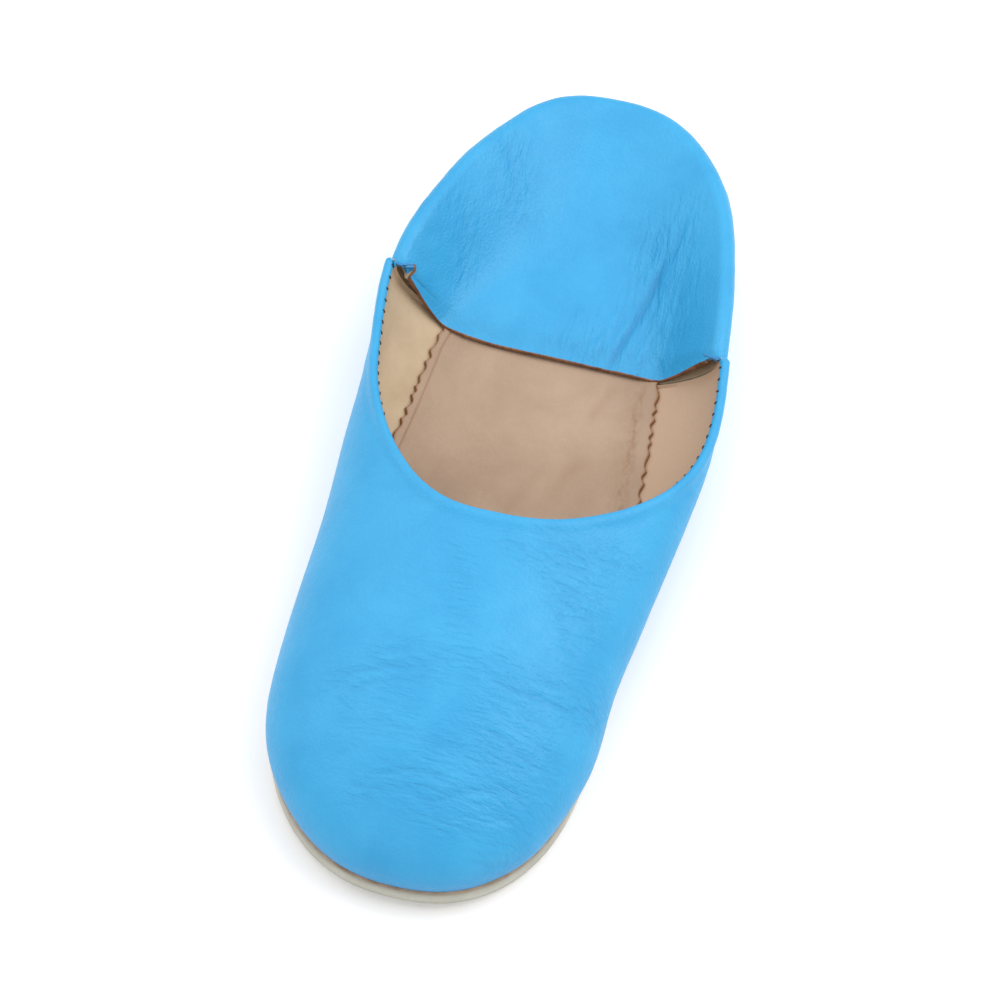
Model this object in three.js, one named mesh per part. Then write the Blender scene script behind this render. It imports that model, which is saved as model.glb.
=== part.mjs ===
// A left babouche slipper in goatskin. A flat leather outsole carries an insole, a vamp whose
// two wings run back along the foot, and a heel quarter that is folded down over the insole.
//
// Millimetres, +Z up. The toe points to -Y, the heel to +Y, and +X is the lateral side.
// The origin is at the middle of the shoe's box, on the ground. A place along the shoe is
// given as a station, the distance back from the toe end of the upper.

import * as THREE from "three";
import { mergeVertices } from "three/addons/utils/BufferGeometryUtils.js";

// ---- Driving sizes ----

const LAST_LENGTH = 257; // the upper's foot, from the toe end to the heel end
const BALL_BREADTH = 84; // the upper's foot at the ball
const INSTEP_HEIGHT = 40; // the closed arch at the throat, above the insole's bed
const SOLE_THICKNESS = 4.5;
const INSOLE_THICKNESS = 1.5;
const UPPER_WALL = 2; // goatskin and its lining together
const GAP = 0.3; // between neighbouring pieces

const TOE_SPRING = 3; // how far the toe end is off the ground
const TOE_SPRING_LENGTH = 45;
const ARCH_LIFT = 0.8; // the waist of the sole, off the ground
const ARCH_FROM = 105;
const ARCH_TO = 175;
const HEEL_LIFT = 0.8;
const HEEL_LIFT_LENGTH = 12;

const TOE_ROUND = 60; // stations over which the toe end rounds off
const TOE_POWER = 2.3; // 2 is an ellipse, more is squarer
const HEEL_ROUND = 38;
const HEEL_POWER = 2.2;
const ARCH_PLAN_POWER = 2.7; // fullness of a cross section, across
const ARCH_RISE_POWER = 2; // and upwards
const BULGE_PEAK = 0.45; // share of the arch's height where the wall stands out most

const THROAT_STATION = 96; // the front of the opening, on the instep
const THROAT_POWER_MEDIAL = 2.5; // 2 is an ellipse, more is squarer
const THROAT_POWER_LATERAL = 3;
const JUNCTION_MEDIAL = 180; // where a wing ends and the quarter begins
const JUNCTION_LATERAL = 172;
const WING_REACH_MEDIAL = 0.93; // share of the half breadth that the opening spans at its back
const WING_REACH_LATERAL = 0.935;

const SOLE_RIM_TOE = 1.3; // how far the outsole shows past the upper at the toe
const SOLE_RIM_WAIST = 0.2; // and behind the ball
const SOLE_RIM_FADE = 95; // station where the toe's rim has faded
const SOLE_EDGE_BREAK = 0.6; // rounding of the outsole's edges
const INSOLE_TURN_UP = 0.6; // the insole's edge climbs the wall a little
const INSOLE_TURN_WIDTH = 6;
const INSOLE_TURN_STEP = 1 / 3; // where the turn steepens, a share of its width and height
const INSOLE_EDGE_SHARE = 0.7; // the edge's own height, a share of the thickness
const INSOLE_CLEARANCE = 0.4; // more than the gap, between the insole's edge and the upper

const RIM_HEIGHT_HEEL = 19; // top of the fold at the back of the heel, off the ground
const RIM_HEIGHT_JUNCTION = 29.5;
const RIM_RADIUS_HEEL = 3.8; // outer radius of the fold
const RIM_RADIUS_JUNCTION = 2.7;
const RIM_DIP = 3.6; // the rim drops by this much to meet the wings
const RIM_DIP_POWER = 12; // how close to the junctions it drops
const RIM_LEAN_SHARE = 0.98; // share of the wall's height from which its lean at the top is read
const FLAP_STEEPNESS = 1.6; // how steeply the flap leaves the fold, against its mean fall
const FLAP_EDGE_STATION = 173.2; // the folded quarter's free edge, in its middle
const FLAP_FAN = 0.4; // how small a share of the free edge the back of the rim leads to
const FLAP_FAN_POWER = 1.5; // how late that share grows to the whole
const FLAP_EDGE_POWER = 3; // how late the free edge sweeps back to the junctions
const FLAP_CORNER_INSET = 5.6; // the free edge's ends, inside the rim
const FLAP_DISH_HEEL = 60; // how far in from the rim the flap reaches the insole
const FLAP_DISH_SIDE = 30;
const FLAP_PATH_BEND = 0.4; // how far a strip goes straight in from the rim, a share of its run

// The last, a row for each section. along: share of the last's length. centre: the section's
// middle, + is lateral. breadth: of the upper's foot, a share of the ball's. medial, lateral: how
// far each wall stands out past it. rise: height of the closed arch, a share of the instep's;
// behind the throat it is the arch that the wings would close into.
const LAST = [
  { along: 0, centre: -0.5, breadth: 1, medial: 3, lateral: 3, rise: 0.68 },
  { along: 0.12, centre: -2, breadth: 1.02, medial: 4, lateral: 4, rise: 0.75 },
  { along: 0.23, centre: -2, breadth: 1, medial: 4.5, lateral: 5.5, rise: 0.85 },
  { along: 0.35, centre: -1.5, breadth: 0.95, medial: 6.5, lateral: 11, rise: 0.95 },
  { along: 0.47, centre: -0.5, breadth: 0.88, medial: 10.5, lateral: 18, rise: 1.12 },
  { along: 0.58, centre: 0.5, breadth: 0.81, medial: 15, lateral: 22, rise: 1.32 },
  { along: 0.71, centre: 1, breadth: 0.75, medial: 20, lateral: 20.5, rise: 1.5 },
  { along: 0.84, centre: 1, breadth: 0.73, medial: 12.5, lateral: 16, rise: 1.6 },
  { along: 0.93, centre: 1, breadth: 0.71, medial: 5.5, lateral: 10, rise: 1.65 },
  { along: 1, centre: 1, breadth: 0.71, medial: 6.5, lateral: 8, rise: 1.65 },
];

// Numbers of facets.
const VAMP_AROUND = 34; // on each side of the toe
const VAMP_UP = 14;
const QUARTER_AROUND = 28; // on each side of the heel
const QUARTER_WALL = 5;
const QUARTER_FLAP = 17;
const QUARTER_CROWDING = 1.6; // how much closer the facets of a long strip are at its fold
const QUARTER_CROWDING_RUN = 60; // the run that counts as long
const FOLD_STEPS = 12; // on which the fold's round is worked out
const SOLE_AROUND = 44; // on each side

// The middle of the shoe's box, which runs from the outsole's toe end to the fold at the heel
// and from wing to wing. The origin is under it.
const BOX_MIDDLE_STATION = 129.77;
const BOX_MIDDLE_ACROSS = 2.83;

// ---- Small tools ----

const clamp01 = (value) => Math.min(1, Math.max(0, value));
const mix = (a, b, share) => a + (b - a) * share;

function smooth(share) {
  const s = clamp01(share);
  return s * s * (3 - 2 * s);
}

// Reads one column of a table at a place along it, with a cubic through the rows.
function column(rows, name, along) {
  const last = rows.length - 1;
  if (along <= rows[0].along) return rows[0][name];
  if (along >= rows[last].along) return rows[last][name];
  const i = rows.findIndex((row) => row.along > along) - 1;
  const slope = (k) => {
    if (k === 0 || k === last) return 0;
    const run = rows[k + 1].along - rows[k - 1].along;
    return (rows[k + 1][name] - rows[k - 1][name]) / run;
  };
  const span = rows[i + 1].along - rows[i].along;
  const t = (along - rows[i].along) / span;
  const rise = t * t * (3 - 2 * t);
  const leave = t * (1 - t) * (1 - t) * span * slope(i);
  const arrive = t * t * (t - 1) * span * slope(i + 1);
  return mix(rows[i][name], rows[i + 1][name], rise) + leave + arrive;
}

const section = (name, station) => column(LAST, name, station / LAST_LENGTH);
const centreAt = (station) => section("centre", station);
const halfAt = (station) => (BALL_BREADTH / 2) * section("breadth", station);
const archAt = (station) => INSTEP_HEIGHT * section("rise", station);

// A point from its sideways place, station and height.
function place(across, station, height) {
  return new THREE.Vector3(across - BOX_MIDDLE_ACROSS, station - BOX_MIDDLE_STATION, height);
}

// ---- The last ----

// Height of the outsole's underside: toe spring, arch and heel, flat under ball and heel.
function underside(station) {
  const toe = clamp01((TOE_SPRING_LENGTH - station) / TOE_SPRING_LENGTH);
  const arch = clamp01((station - ARCH_FROM) / (ARCH_TO - ARCH_FROM));
  const heel = clamp01((station - LAST_LENGTH + HEEL_LIFT_LENGTH) / HEEL_LIFT_LENGTH);
  return TOE_SPRING * toe ** 2 + ARCH_LIFT * Math.sin(Math.PI * arch) ** 2 + HEEL_LIFT * heel ** 2;
}

// Height of the plane that the upper's foot and the insole stand on.
const bed = (station) => underside(station) + SOLE_THICKNESS + GAP;

// How deep a station lies in the rounded toe, from 0 to -1, or the rounded heel, from 0 to 1.
function endDepth(station) {
  if (station < TOE_ROUND) return station / TOE_ROUND - 1;
  const heelStart = LAST_LENGTH - HEEL_ROUND;
  return Math.max(0, (station - heelStart) / HEEL_ROUND);
}

const endPower = (depth) => (depth < 0 ? TOE_POWER : HEEL_POWER);
const endLength = (depth) => (depth < 0 ? TOE_ROUND : HEEL_ROUND);

// Share of the half breadth left at a depth in the rounded ends.
function roundedShare(depth) {
  const power = endPower(depth);
  return Math.max(0, 1 - Math.abs(depth) ** power) ** (1 / power);
}

// The way out of the foot in plan, from a point's shares of the half breadth and of the end.
function outward(share, depth, half) {
  const power = endPower(depth) - 1;
  const across = (Math.sign(share) * Math.abs(share) ** power) / half;
  const along = (Math.sign(depth) * Math.abs(depth) ** power) / endLength(depth);
  return new THREE.Vector2(across, along).normalize();
}

// A point of the foot line, where the upper meets the sole. side is -1 medial, 1 lateral.
function footLine(side, station) {
  const depth = endDepth(station);
  const half = halfAt(station);
  const share = side * roundedShare(depth);
  const across = centreAt(station) + half * share;
  return { across, station, share, depth, out: outward(share, depth, half) };
}

// How far the wall stands out at a share of the arch's height.
function bulge(rise) {
  const power = Math.log(0.5) / Math.log(BULGE_PEAK);
  return Math.sin(Math.PI * clamp01(rise) ** power);
}

// The outer surface of the closed last over a point of its plan.
function lastSurface(across, station) {
  const depth = endDepth(station);
  const half = halfAt(station);
  const share = (across - centreAt(station)) / half;
  const power = endPower(depth);
  const reach = (Math.abs(share) ** power + Math.abs(depth) ** power) ** (1 / power);
  const rise = Math.max(0, 1 - reach ** ARCH_PLAN_POWER) ** (1 / ARCH_RISE_POWER);
  const out = outward(share, depth, half);
  const stand = mix(section("medial", station), section("lateral", station), (1 + out.x) / 2);
  const push = reach > 0 ? stand * bulge(rise) : 0;
  const height = bed(station) + archAt(station) * rise;
  return { across: across + out.x * push, station: station + out.y * push, height };
}

// The wall above a point of the foot line, at a share of the arch's height.
function wallPoint(foot, rise) {
  const reach = Math.max(0, 1 - rise ** ARCH_RISE_POWER) ** (1 / ARCH_PLAN_POWER);
  const start = foot.station - endLength(foot.depth) * foot.depth;
  const station = start + endLength(foot.depth) * foot.depth * reach;
  const half = halfAt(station);
  return lastSurface(centreAt(station) + half * foot.share * reach, station);
}

// ---- Meshes from grids ----

// Collects quads and makes one closed mesh of them, with the corners that meet merged.
class ShellBuilder {
  constructor() {
    this.corners = [];
  }

  quad(a, b, c, d) {
    this.corners.push(a, b, c, a, c, d);
  }

  geometry() {
    const flat = this.corners.flatMap((p) => [p.x, p.y, p.z]);
    const geometry = new THREE.BufferGeometry();
    geometry.setAttribute("position", new THREE.Float32BufferAttribute(flat, 3));
    const merged = mergeVertices(geometry, 1e-4);
    merged.computeVertexNormals();
    return merged;
  }
}

// Unit normals of a grid of points, from its neighbours.
function gridNormals(grid) {
  const rows = grid.length;
  const columns = grid[0].length;
  return grid.map((row, i) =>
    row.map((_, j) => {
      const along = grid[Math.min(i + 1, rows - 1)][j].clone().sub(grid[Math.max(i - 1, 0)][j]);
      const up = grid[i][Math.min(j + 1, columns - 1)].clone().sub(grid[i][Math.max(j - 1, 0)]);
      return along.cross(up).normalize();
    }),
  );
}

// A sheet of one thickness from its outer face. Rows run along the foot line, columns up from
// it. The foot stays on the sole, and both ends are cut square across the shoe.
function sheetGeometry(outer, thickness) {
  const normals = gridNormals(outer);
  const last = outer.length - 1;
  const inner = outer.map((row, i) =>
    row.map((point, j) => {
      const normal = normals[i][j].clone();
      if (j === 0) normal.setZ(0).normalize();
      const moved = point.clone().addScaledVector(normal, -thickness);
      if (i === 0 || i === last) moved.setY(point.y);
      return moved;
    }),
  );
  const shell = new ShellBuilder();
  const top = outer[0].length - 1;
  for (let i = 0; i < last; i += 1) {
    for (let j = 0; j < top; j += 1) {
      shell.quad(outer[i][j], outer[i + 1][j], outer[i + 1][j + 1], outer[i][j + 1]);
      shell.quad(inner[i][j + 1], inner[i + 1][j + 1], inner[i + 1][j], inner[i][j]);
    }
    shell.quad(inner[i][0], inner[i + 1][0], outer[i + 1][0], outer[i][0]);
    shell.quad(outer[i][top], outer[i + 1][top], inner[i + 1][top], inner[i][top]);
  }
  for (let j = 0; j < top; j += 1) {
    shell.quad(inner[0][j], outer[0][j], outer[0][j + 1], inner[0][j + 1]);
    shell.quad(outer[last][j], inner[last][j], inner[last][j + 1], outer[last][j + 1]);
  }
  return shell.geometry();
}

// A plate from closed rings of points, the lowest first. Each ring starts at the toe, goes down
// the lateral side to the heel and comes back, so points i and count - i face each other.
function plateGeometry(rings) {
  const count = rings[0].length;
  const shell = new ShellBuilder();
  for (let k = 0; k + 1 < rings.length; k += 1) {
    for (let i = 0; i < count; i += 1) {
      const next = (i + 1) % count;
      shell.quad(rings[k][i], rings[k][next], rings[k + 1][next], rings[k + 1][i]);
    }
  }
  const facing = (i) => (count - i) % count;
  const bottom = rings[0];
  const top = rings[rings.length - 1];
  for (let i = 0; i < count / 2; i += 1) {
    shell.quad(bottom[facing(i)], bottom[facing(i + 1)], bottom[i + 1], bottom[i]);
    shell.quad(top[i], top[i + 1], top[facing(i + 1)], top[facing(i)]);
  }
  return shell.geometry();
}

// A ring round the sole's outline, moved out by a distance and set at a height, both of which
// are functions of the station.
function soleRing(grow, height) {
  const points = [];
  for (let i = 0; i < 2 * SOLE_AROUND; i += 1) {
    const side = i <= SOLE_AROUND ? 1 : -1;
    const station = (LAST_LENGTH * (1 - Math.cos((Math.PI * i) / SOLE_AROUND))) / 2;
    const foot = footLine(side, station);
    const distance = grow(station);
    const at = station + foot.out.y * distance;
    points.push(place(foot.across + foot.out.x * distance, at, height(station)));
  }
  return points;
}

// ---- The pieces ----

function outsoleGeometry() {
  const fade = (station) => smooth(1 - station / SOLE_RIM_FADE);
  const rim = (station) => mix(SOLE_RIM_WAIST, SOLE_RIM_TOE, fade(station));
  const inset = (station) => rim(station) - SOLE_EDGE_BREAK;
  const above = (height) => (station) => underside(station) + height;
  return plateGeometry([
    soleRing(inset, above(0)),
    soleRing(rim, above(SOLE_EDGE_BREAK)),
    soleRing(rim, above(SOLE_THICKNESS - SOLE_EDGE_BREAK)),
    soleRing(inset, above(SOLE_THICKNESS)),
  ]);
}

function insoleGeometry() {
  const edge = -(UPPER_WALL + GAP + INSOLE_CLEARANCE);
  const stepWidth = INSOLE_TURN_WIDTH * INSOLE_TURN_STEP;
  const stepHeight = INSOLE_TURN_UP * INSOLE_TURN_STEP;
  const at = (inset) => () => edge - inset;
  const above = (height) => (station) => bed(station) + height;
  return plateGeometry([
    soleRing(at(INSOLE_TURN_WIDTH), above(0)),
    soleRing(at(stepWidth), above(stepHeight)),
    soleRing(at(0), above(INSOLE_TURN_UP)),
    soleRing(at(0), above(INSOLE_TURN_UP + INSOLE_THICKNESS * INSOLE_EDGE_SHARE)),
    soleRing(at(stepWidth), above(stepHeight + INSOLE_THICKNESS)),
    soleRing(at(INSOLE_TURN_WIDTH), above(INSOLE_THICKNESS)),
  ]);
}

const junction = (side) => (side < 0 ? JUNCTION_MEDIAL : JUNCTION_LATERAL);

// The throat's edge in the plan of the closed last, from the instep at 0 to a junction at 1.
function throatEdge(side, share) {
  const angle = (share * Math.PI) / 2;
  const power = 2 / (side < 0 ? THROAT_POWER_MEDIAL : THROAT_POWER_LATERAL);
  const span = side < 0 ? WING_REACH_MEDIAL : WING_REACH_LATERAL;
  const station = mix(junction(side) - GAP / 2, THROAT_STATION, Math.cos(angle) ** power);
  const reach = span * Math.sin(angle) ** power;
  const across = centreAt(station) + side * reach * halfAt(station);
  return new THREE.Vector2(across, station);
}

// One strip of the vamp, from the foot line up to the throat's edge.
function vampStrip(side, share) {
  const station = (junction(side) - GAP / 2) * (1 - Math.cos((share * Math.PI) / 2));
  const foot = footLine(side, station);
  const from = new THREE.Vector2(foot.across, foot.station);
  const to = throatEdge(side, share);
  const strip = [];
  for (let j = 0; j <= VAMP_UP; j += 1) {
    const part = 1 - Math.cos((Math.PI * j) / (2 * VAMP_UP));
    const plan = from.clone().lerp(to, part);
    const point = lastSurface(plan.x, plan.y);
    strip.push(place(point.across, point.station, point.height));
  }
  return strip;
}

function vampGeometry() {
  const strips = [];
  for (let i = -VAMP_AROUND; i <= VAMP_AROUND; i += 1) {
    strips.push(vampStrip(i < 0 ? -1 : 1, Math.abs(i) / VAMP_AROUND));
  }
  return sheetGeometry(strips, UPPER_WALL);
}

// The fold and the flap in section, as distances in from the wall's top and heights. It turns
// over on a round of the rim's radius, then falls to the insole's level and lies on it.
function flapProfile(lean, radius, topHeight, floor, dish) {
  const fallRate = (FLAP_STEEPNESS * (topHeight + radius - floor)) / dish;
  const turn = Math.PI / 2 + Math.atan(fallRate);
  const points = [];
  for (let k = 0; k <= FOLD_STEPS; k += 1) {
    const angle = mix(-lean, turn, k / FOLD_STEPS);
    const inwards = radius * (Math.cos(lean) - Math.cos(angle));
    points.push(new THREE.Vector2(inwards, topHeight + radius * (Math.sin(lean) + Math.sin(angle))));
  }
  const leave = points[FOLD_STEPS];
  const down = leave.y - floor;
  const slope = -fallRate * (dish - leave.x);
  for (let k = 1; k <= 2 * FOLD_STEPS; k += 1) {
    const t = k / (2 * FOLD_STEPS);
    const fall = t * t * (3 - 2 * t);
    const start = t * (1 - t) * (1 - t) * slope;
    points.push(new THREE.Vector2(mix(leave.x, dish, t), floor + down * (1 - fall) + start));
  }
  points.push(new THREE.Vector2(LAST_LENGTH, floor));
  return points;
}

// A profile walked evenly from its start to a distance in, closer together at the start where
// crowding is over 1.
function walkProfile(points, reach, steps, crowding) {
  const end = points.findIndex((p) => p.x >= reach);
  const share = (reach - points[end - 1].x) / (points[end].x - points[end - 1].x);
  const route = [...points.slice(0, end), points[end - 1].clone().lerp(points[end], share)];
  const walked = [0];
  for (let i = 1; i < route.length; i += 1) {
    walked.push(walked[i - 1] + route[i].distanceTo(route[i - 1]));
  }
  const total = walked[walked.length - 1];
  const places = [];
  for (let j = 0; j < steps; j += 1) {
    const goal = total * (j / steps) ** crowding;
    const next = walked.findIndex((length) => length > goal);
    const part = (goal - walked[next - 1]) / (walked[next] - walked[next - 1]);
    places.push(route[next - 1].clone().lerp(route[next], part));
  }
  places.push(route[route.length - 1]);
  return places;
}

// How far the rim has dropped at a share of the way from the heel to a junction.
const rimDip = (share) => RIM_DIP * share ** RIM_DIP_POWER;

// One strip of the quarter: up the wall from the sole, over the fold and on to the free edge.
function quarterStrip(side, share) {
  const start = junction(side) + GAP / 2;
  const station = LAST_LENGTH - (LAST_LENGTH - start) * (1 - Math.cos((share * Math.PI) / 2));
  const foot = footLine(side, station);
  const rimShare = smooth(share);
  const radius = mix(RIM_RADIUS_HEEL, RIM_RADIUS_JUNCTION, rimShare);
  const rimHeight = mix(RIM_HEIGHT_HEEL, RIM_HEIGHT_JUNCTION, rimShare) - rimDip(share);
  const wallTop = (rimHeight - radius - bed(station)) / archAt(station);
  const strip = [];
  for (let j = 0; j < QUARTER_WALL; j += 1) {
    const point = wallPoint(foot, (wallTop * j) / QUARTER_WALL);
    strip.push(place(point.across, point.station, point.height));
  }
  const top = wallPoint(foot, wallTop);
  const below = wallPoint(foot, wallTop * RIM_LEAN_SHARE);
  const run = Math.hypot(top.across - below.across, top.station - below.station);
  const lean = Math.atan2(run, top.height - below.height);
  const floor = SOLE_THICKNESS + INSOLE_THICKNESS + INSOLE_TURN_UP + 2 * GAP + UPPER_WALL;
  const dish = mix(FLAP_DISH_HEEL, FLAP_DISH_SIDE, rimShare);
  const from = new THREE.Vector2(top.across, top.station);
  const edge = flapEdge(side, share);
  const bend = from.clone().addScaledVector(foot.out, -FLAP_PATH_BEND * from.distanceTo(edge));
  const path = new THREE.QuadraticBezierCurve(from, bend, edge);
  const reach = path.getLength();
  const profile = flapProfile(lean, radius, top.height, floor, dish);
  const crowding = mix(1, QUARTER_CROWDING, clamp01(reach / QUARTER_CROWDING_RUN));
  for (const { x: inwards, y: height } of walkProfile(profile, reach, QUARTER_FLAP, crowding)) {
    const plan = path.getPointAt(clamp01(inwards / reach));
    plan.addScaledVector(foot.out, Math.max(0, -inwards));
    strip.push(place(plan.x, plan.y, height));
  }
  return strip;
}

// The folded quarter's free edge in plan, from its middle at 0 to a junction at 1.
function flapEdge(side, share) {
  const end = junction(side) + GAP / 2;
  const foot = footLine(side, end);
  const rimHeight = RIM_HEIGHT_JUNCTION - RIM_DIP;
  const rise = (rimHeight - RIM_RADIUS_JUNCTION - bed(end)) / archAt(end);
  const corner = wallPoint(foot, rise).across - side * FLAP_CORNER_INSET;
  const part = share * mix(FLAP_FAN, 1, share ** FLAP_FAN_POWER);
  const across = mix(centreAt(end), corner, part);
  return new THREE.Vector2(across, mix(FLAP_EDGE_STATION, end, part ** FLAP_EDGE_POWER));
}

function quarterGeometry() {
  const strips = [];
  for (let i = QUARTER_AROUND; i >= -QUARTER_AROUND; i -= 1) {
    strips.push(quarterStrip(i < 0 ? -1 : 1, Math.abs(i) / QUARTER_AROUND));
  }
  return sheetGeometry(strips, UPPER_WALL);
}

// ---- The shoe ----

const SKY_BLUE = { color: 0x55aee8, roughness: 0.5, metalness: 0 };
const NATURAL_TAN = { color: 0xc9a585, roughness: 0.75, metalness: 0 };
const PALE_SOLE = { color: 0xb9ad96, roughness: 0.8, metalness: 0 };

function piece(name, geometry, finish) {
  const mesh = new THREE.Mesh(geometry, new THREE.MeshStandardMaterial(finish));
  mesh.name = name;
  return mesh;
}

const shoe = new THREE.Group();
shoe.name = "babouche";
shoe.add(piece("outsole", outsoleGeometry(), PALE_SOLE));
shoe.add(piece("insole", insoleGeometry(), NATURAL_TAN));
shoe.add(piece("vamp", vampGeometry(), SKY_BLUE));
shoe.add(piece("heel_quarter", quarterGeometry(), SKY_BLUE));

export default shoe;
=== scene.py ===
"""A left babouche slipper in sky blue goatskin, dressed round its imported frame.

The vamp, the folded heel quarter, the insole and the outsole are made again at a fine scale on the
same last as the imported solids, with their turned edges, linings, creases, pinked edges and hand
stitches. Sizes are in millimetres, and become metres when a mesh is made. The toe points to -Y,
the heel to +Y, +X is the lateral side, and a station is the distance back from the toe end.
"""

import logging
import math
from dataclasses import dataclass, field, replace
from enum import Enum

import bmesh
import bpy
import numpy as np
from mathutils import Matrix, Vector


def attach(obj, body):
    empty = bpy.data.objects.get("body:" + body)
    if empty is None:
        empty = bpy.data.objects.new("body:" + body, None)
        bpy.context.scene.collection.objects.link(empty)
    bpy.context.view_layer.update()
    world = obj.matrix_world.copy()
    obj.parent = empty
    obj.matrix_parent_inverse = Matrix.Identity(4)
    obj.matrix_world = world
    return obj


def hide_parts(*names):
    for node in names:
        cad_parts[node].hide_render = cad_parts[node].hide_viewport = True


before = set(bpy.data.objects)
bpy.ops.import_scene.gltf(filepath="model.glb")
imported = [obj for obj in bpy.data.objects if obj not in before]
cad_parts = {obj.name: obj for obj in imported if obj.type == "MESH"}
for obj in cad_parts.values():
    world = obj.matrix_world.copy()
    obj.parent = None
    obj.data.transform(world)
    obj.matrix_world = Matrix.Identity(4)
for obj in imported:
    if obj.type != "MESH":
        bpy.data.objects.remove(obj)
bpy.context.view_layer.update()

LOG = logging.getLogger("babouche")
MM = 0.001
Array = np.ndarray
Material = bpy.types.Material


# ---- Small tools ----


def mix(low: Array | float, high: Array | float, share: Array | float) -> Array | float:
    """Goes from low to high by a share."""
    return low + (high - low) * share


def smooth(share: Array | float) -> Array | float:
    """Eases a share in and out, and holds it between 0 and 1."""
    held = np.clip(share, 0.0, 1.0)
    return held * held * (3.0 - 2.0 * held)


def unit(vectors: Array) -> Array:
    """Gives vectors a length of 1."""
    length = np.linalg.norm(vectors, axis=-1, keepdims=True)
    return vectors / np.maximum(length, 1e-12)


def bump_at(distance: Array, middle: float, width: float) -> Array:
    """A soft bump of height 1 at a distance."""
    return np.exp(-(((distance - middle) / width) ** 2))


def side_of(across: Array) -> Array:
    """The side of a place as a sign: -1 medial or 1 lateral."""
    return np.where(across < 0.0, -1.0, 1.0)


def walked_along(line: Array) -> Array:
    """Distances walked along a line of points, from 0 at its start."""
    return np.concatenate([[0.0], np.cumsum(np.linalg.norm(np.diff(line, axis=0), axis=1))])


def from_row_end(rows: Array) -> Array:
    """How far each point of each row is from the end of its row, along the row."""
    steps = np.linalg.norm(np.diff(rows, axis=1), axis=-1)
    back = np.cumsum(steps[:, ::-1], axis=1)[:, ::-1]
    return np.concatenate([back, np.zeros((len(rows), 1))], axis=1)


def every_second(count: int) -> Array:
    """Every second index up to a count, and the last one."""
    return np.unique(np.append(np.arange(0, count, 2), count - 1))


def at_goals(goals: Array, walked: Array, line: Array) -> Array:
    """The places on a line at distances walked along it."""
    return np.stack([np.interp(goals, walked, line[:, axis]) for axis in range(line.shape[1])], axis=-1)


def add_object(name: str, data: bpy.types.ID) -> bpy.types.Object:
    """Makes an object of its data, and links it to the scene."""
    made = bpy.data.objects.new(name, data)
    bpy.context.scene.collection.objects.link(made)
    return made


def evenly(rows: Array, steps: int) -> Array:
    """Walks each row of points in even steps.

    Args:
        rows: Points, rows by places by 3.
        steps: Steps along each row.

    Returns:
        Points, rows by steps + 1 by 3.
    """
    made = []
    for row in rows:
        walked = walked_along(row)
        made.append(at_goals(np.linspace(0.0, walked[-1], steps + 1), walked, row))
    return np.stack(made)


def grid_normals(grid: Array) -> Array:
    """Unit normals of a grid of points, from the crossed directions along its rows and columns."""
    return unit(np.cross(np.gradient(grid, axis=0), np.gradient(grid, axis=1)))


# ---- The last ----


@dataclass(frozen=True)
class LastRow:
    """One section of the last.

    along is its share of the last's length, centre its middle, breadth the upper's foot as a share
    of the ball's, medial and lateral how far each wall stands out past it, and rise the closed
    arch's height as a share of the instep's.
    """

    along: float
    centre: float
    breadth: float
    medial: float
    lateral: float
    rise: float


@dataclass
class FootLine:
    """Places on the line where the upper meets the sole, and the way out of the foot there."""

    across: Array
    station: Array
    share: Array
    depth: Array
    out: Array


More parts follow.
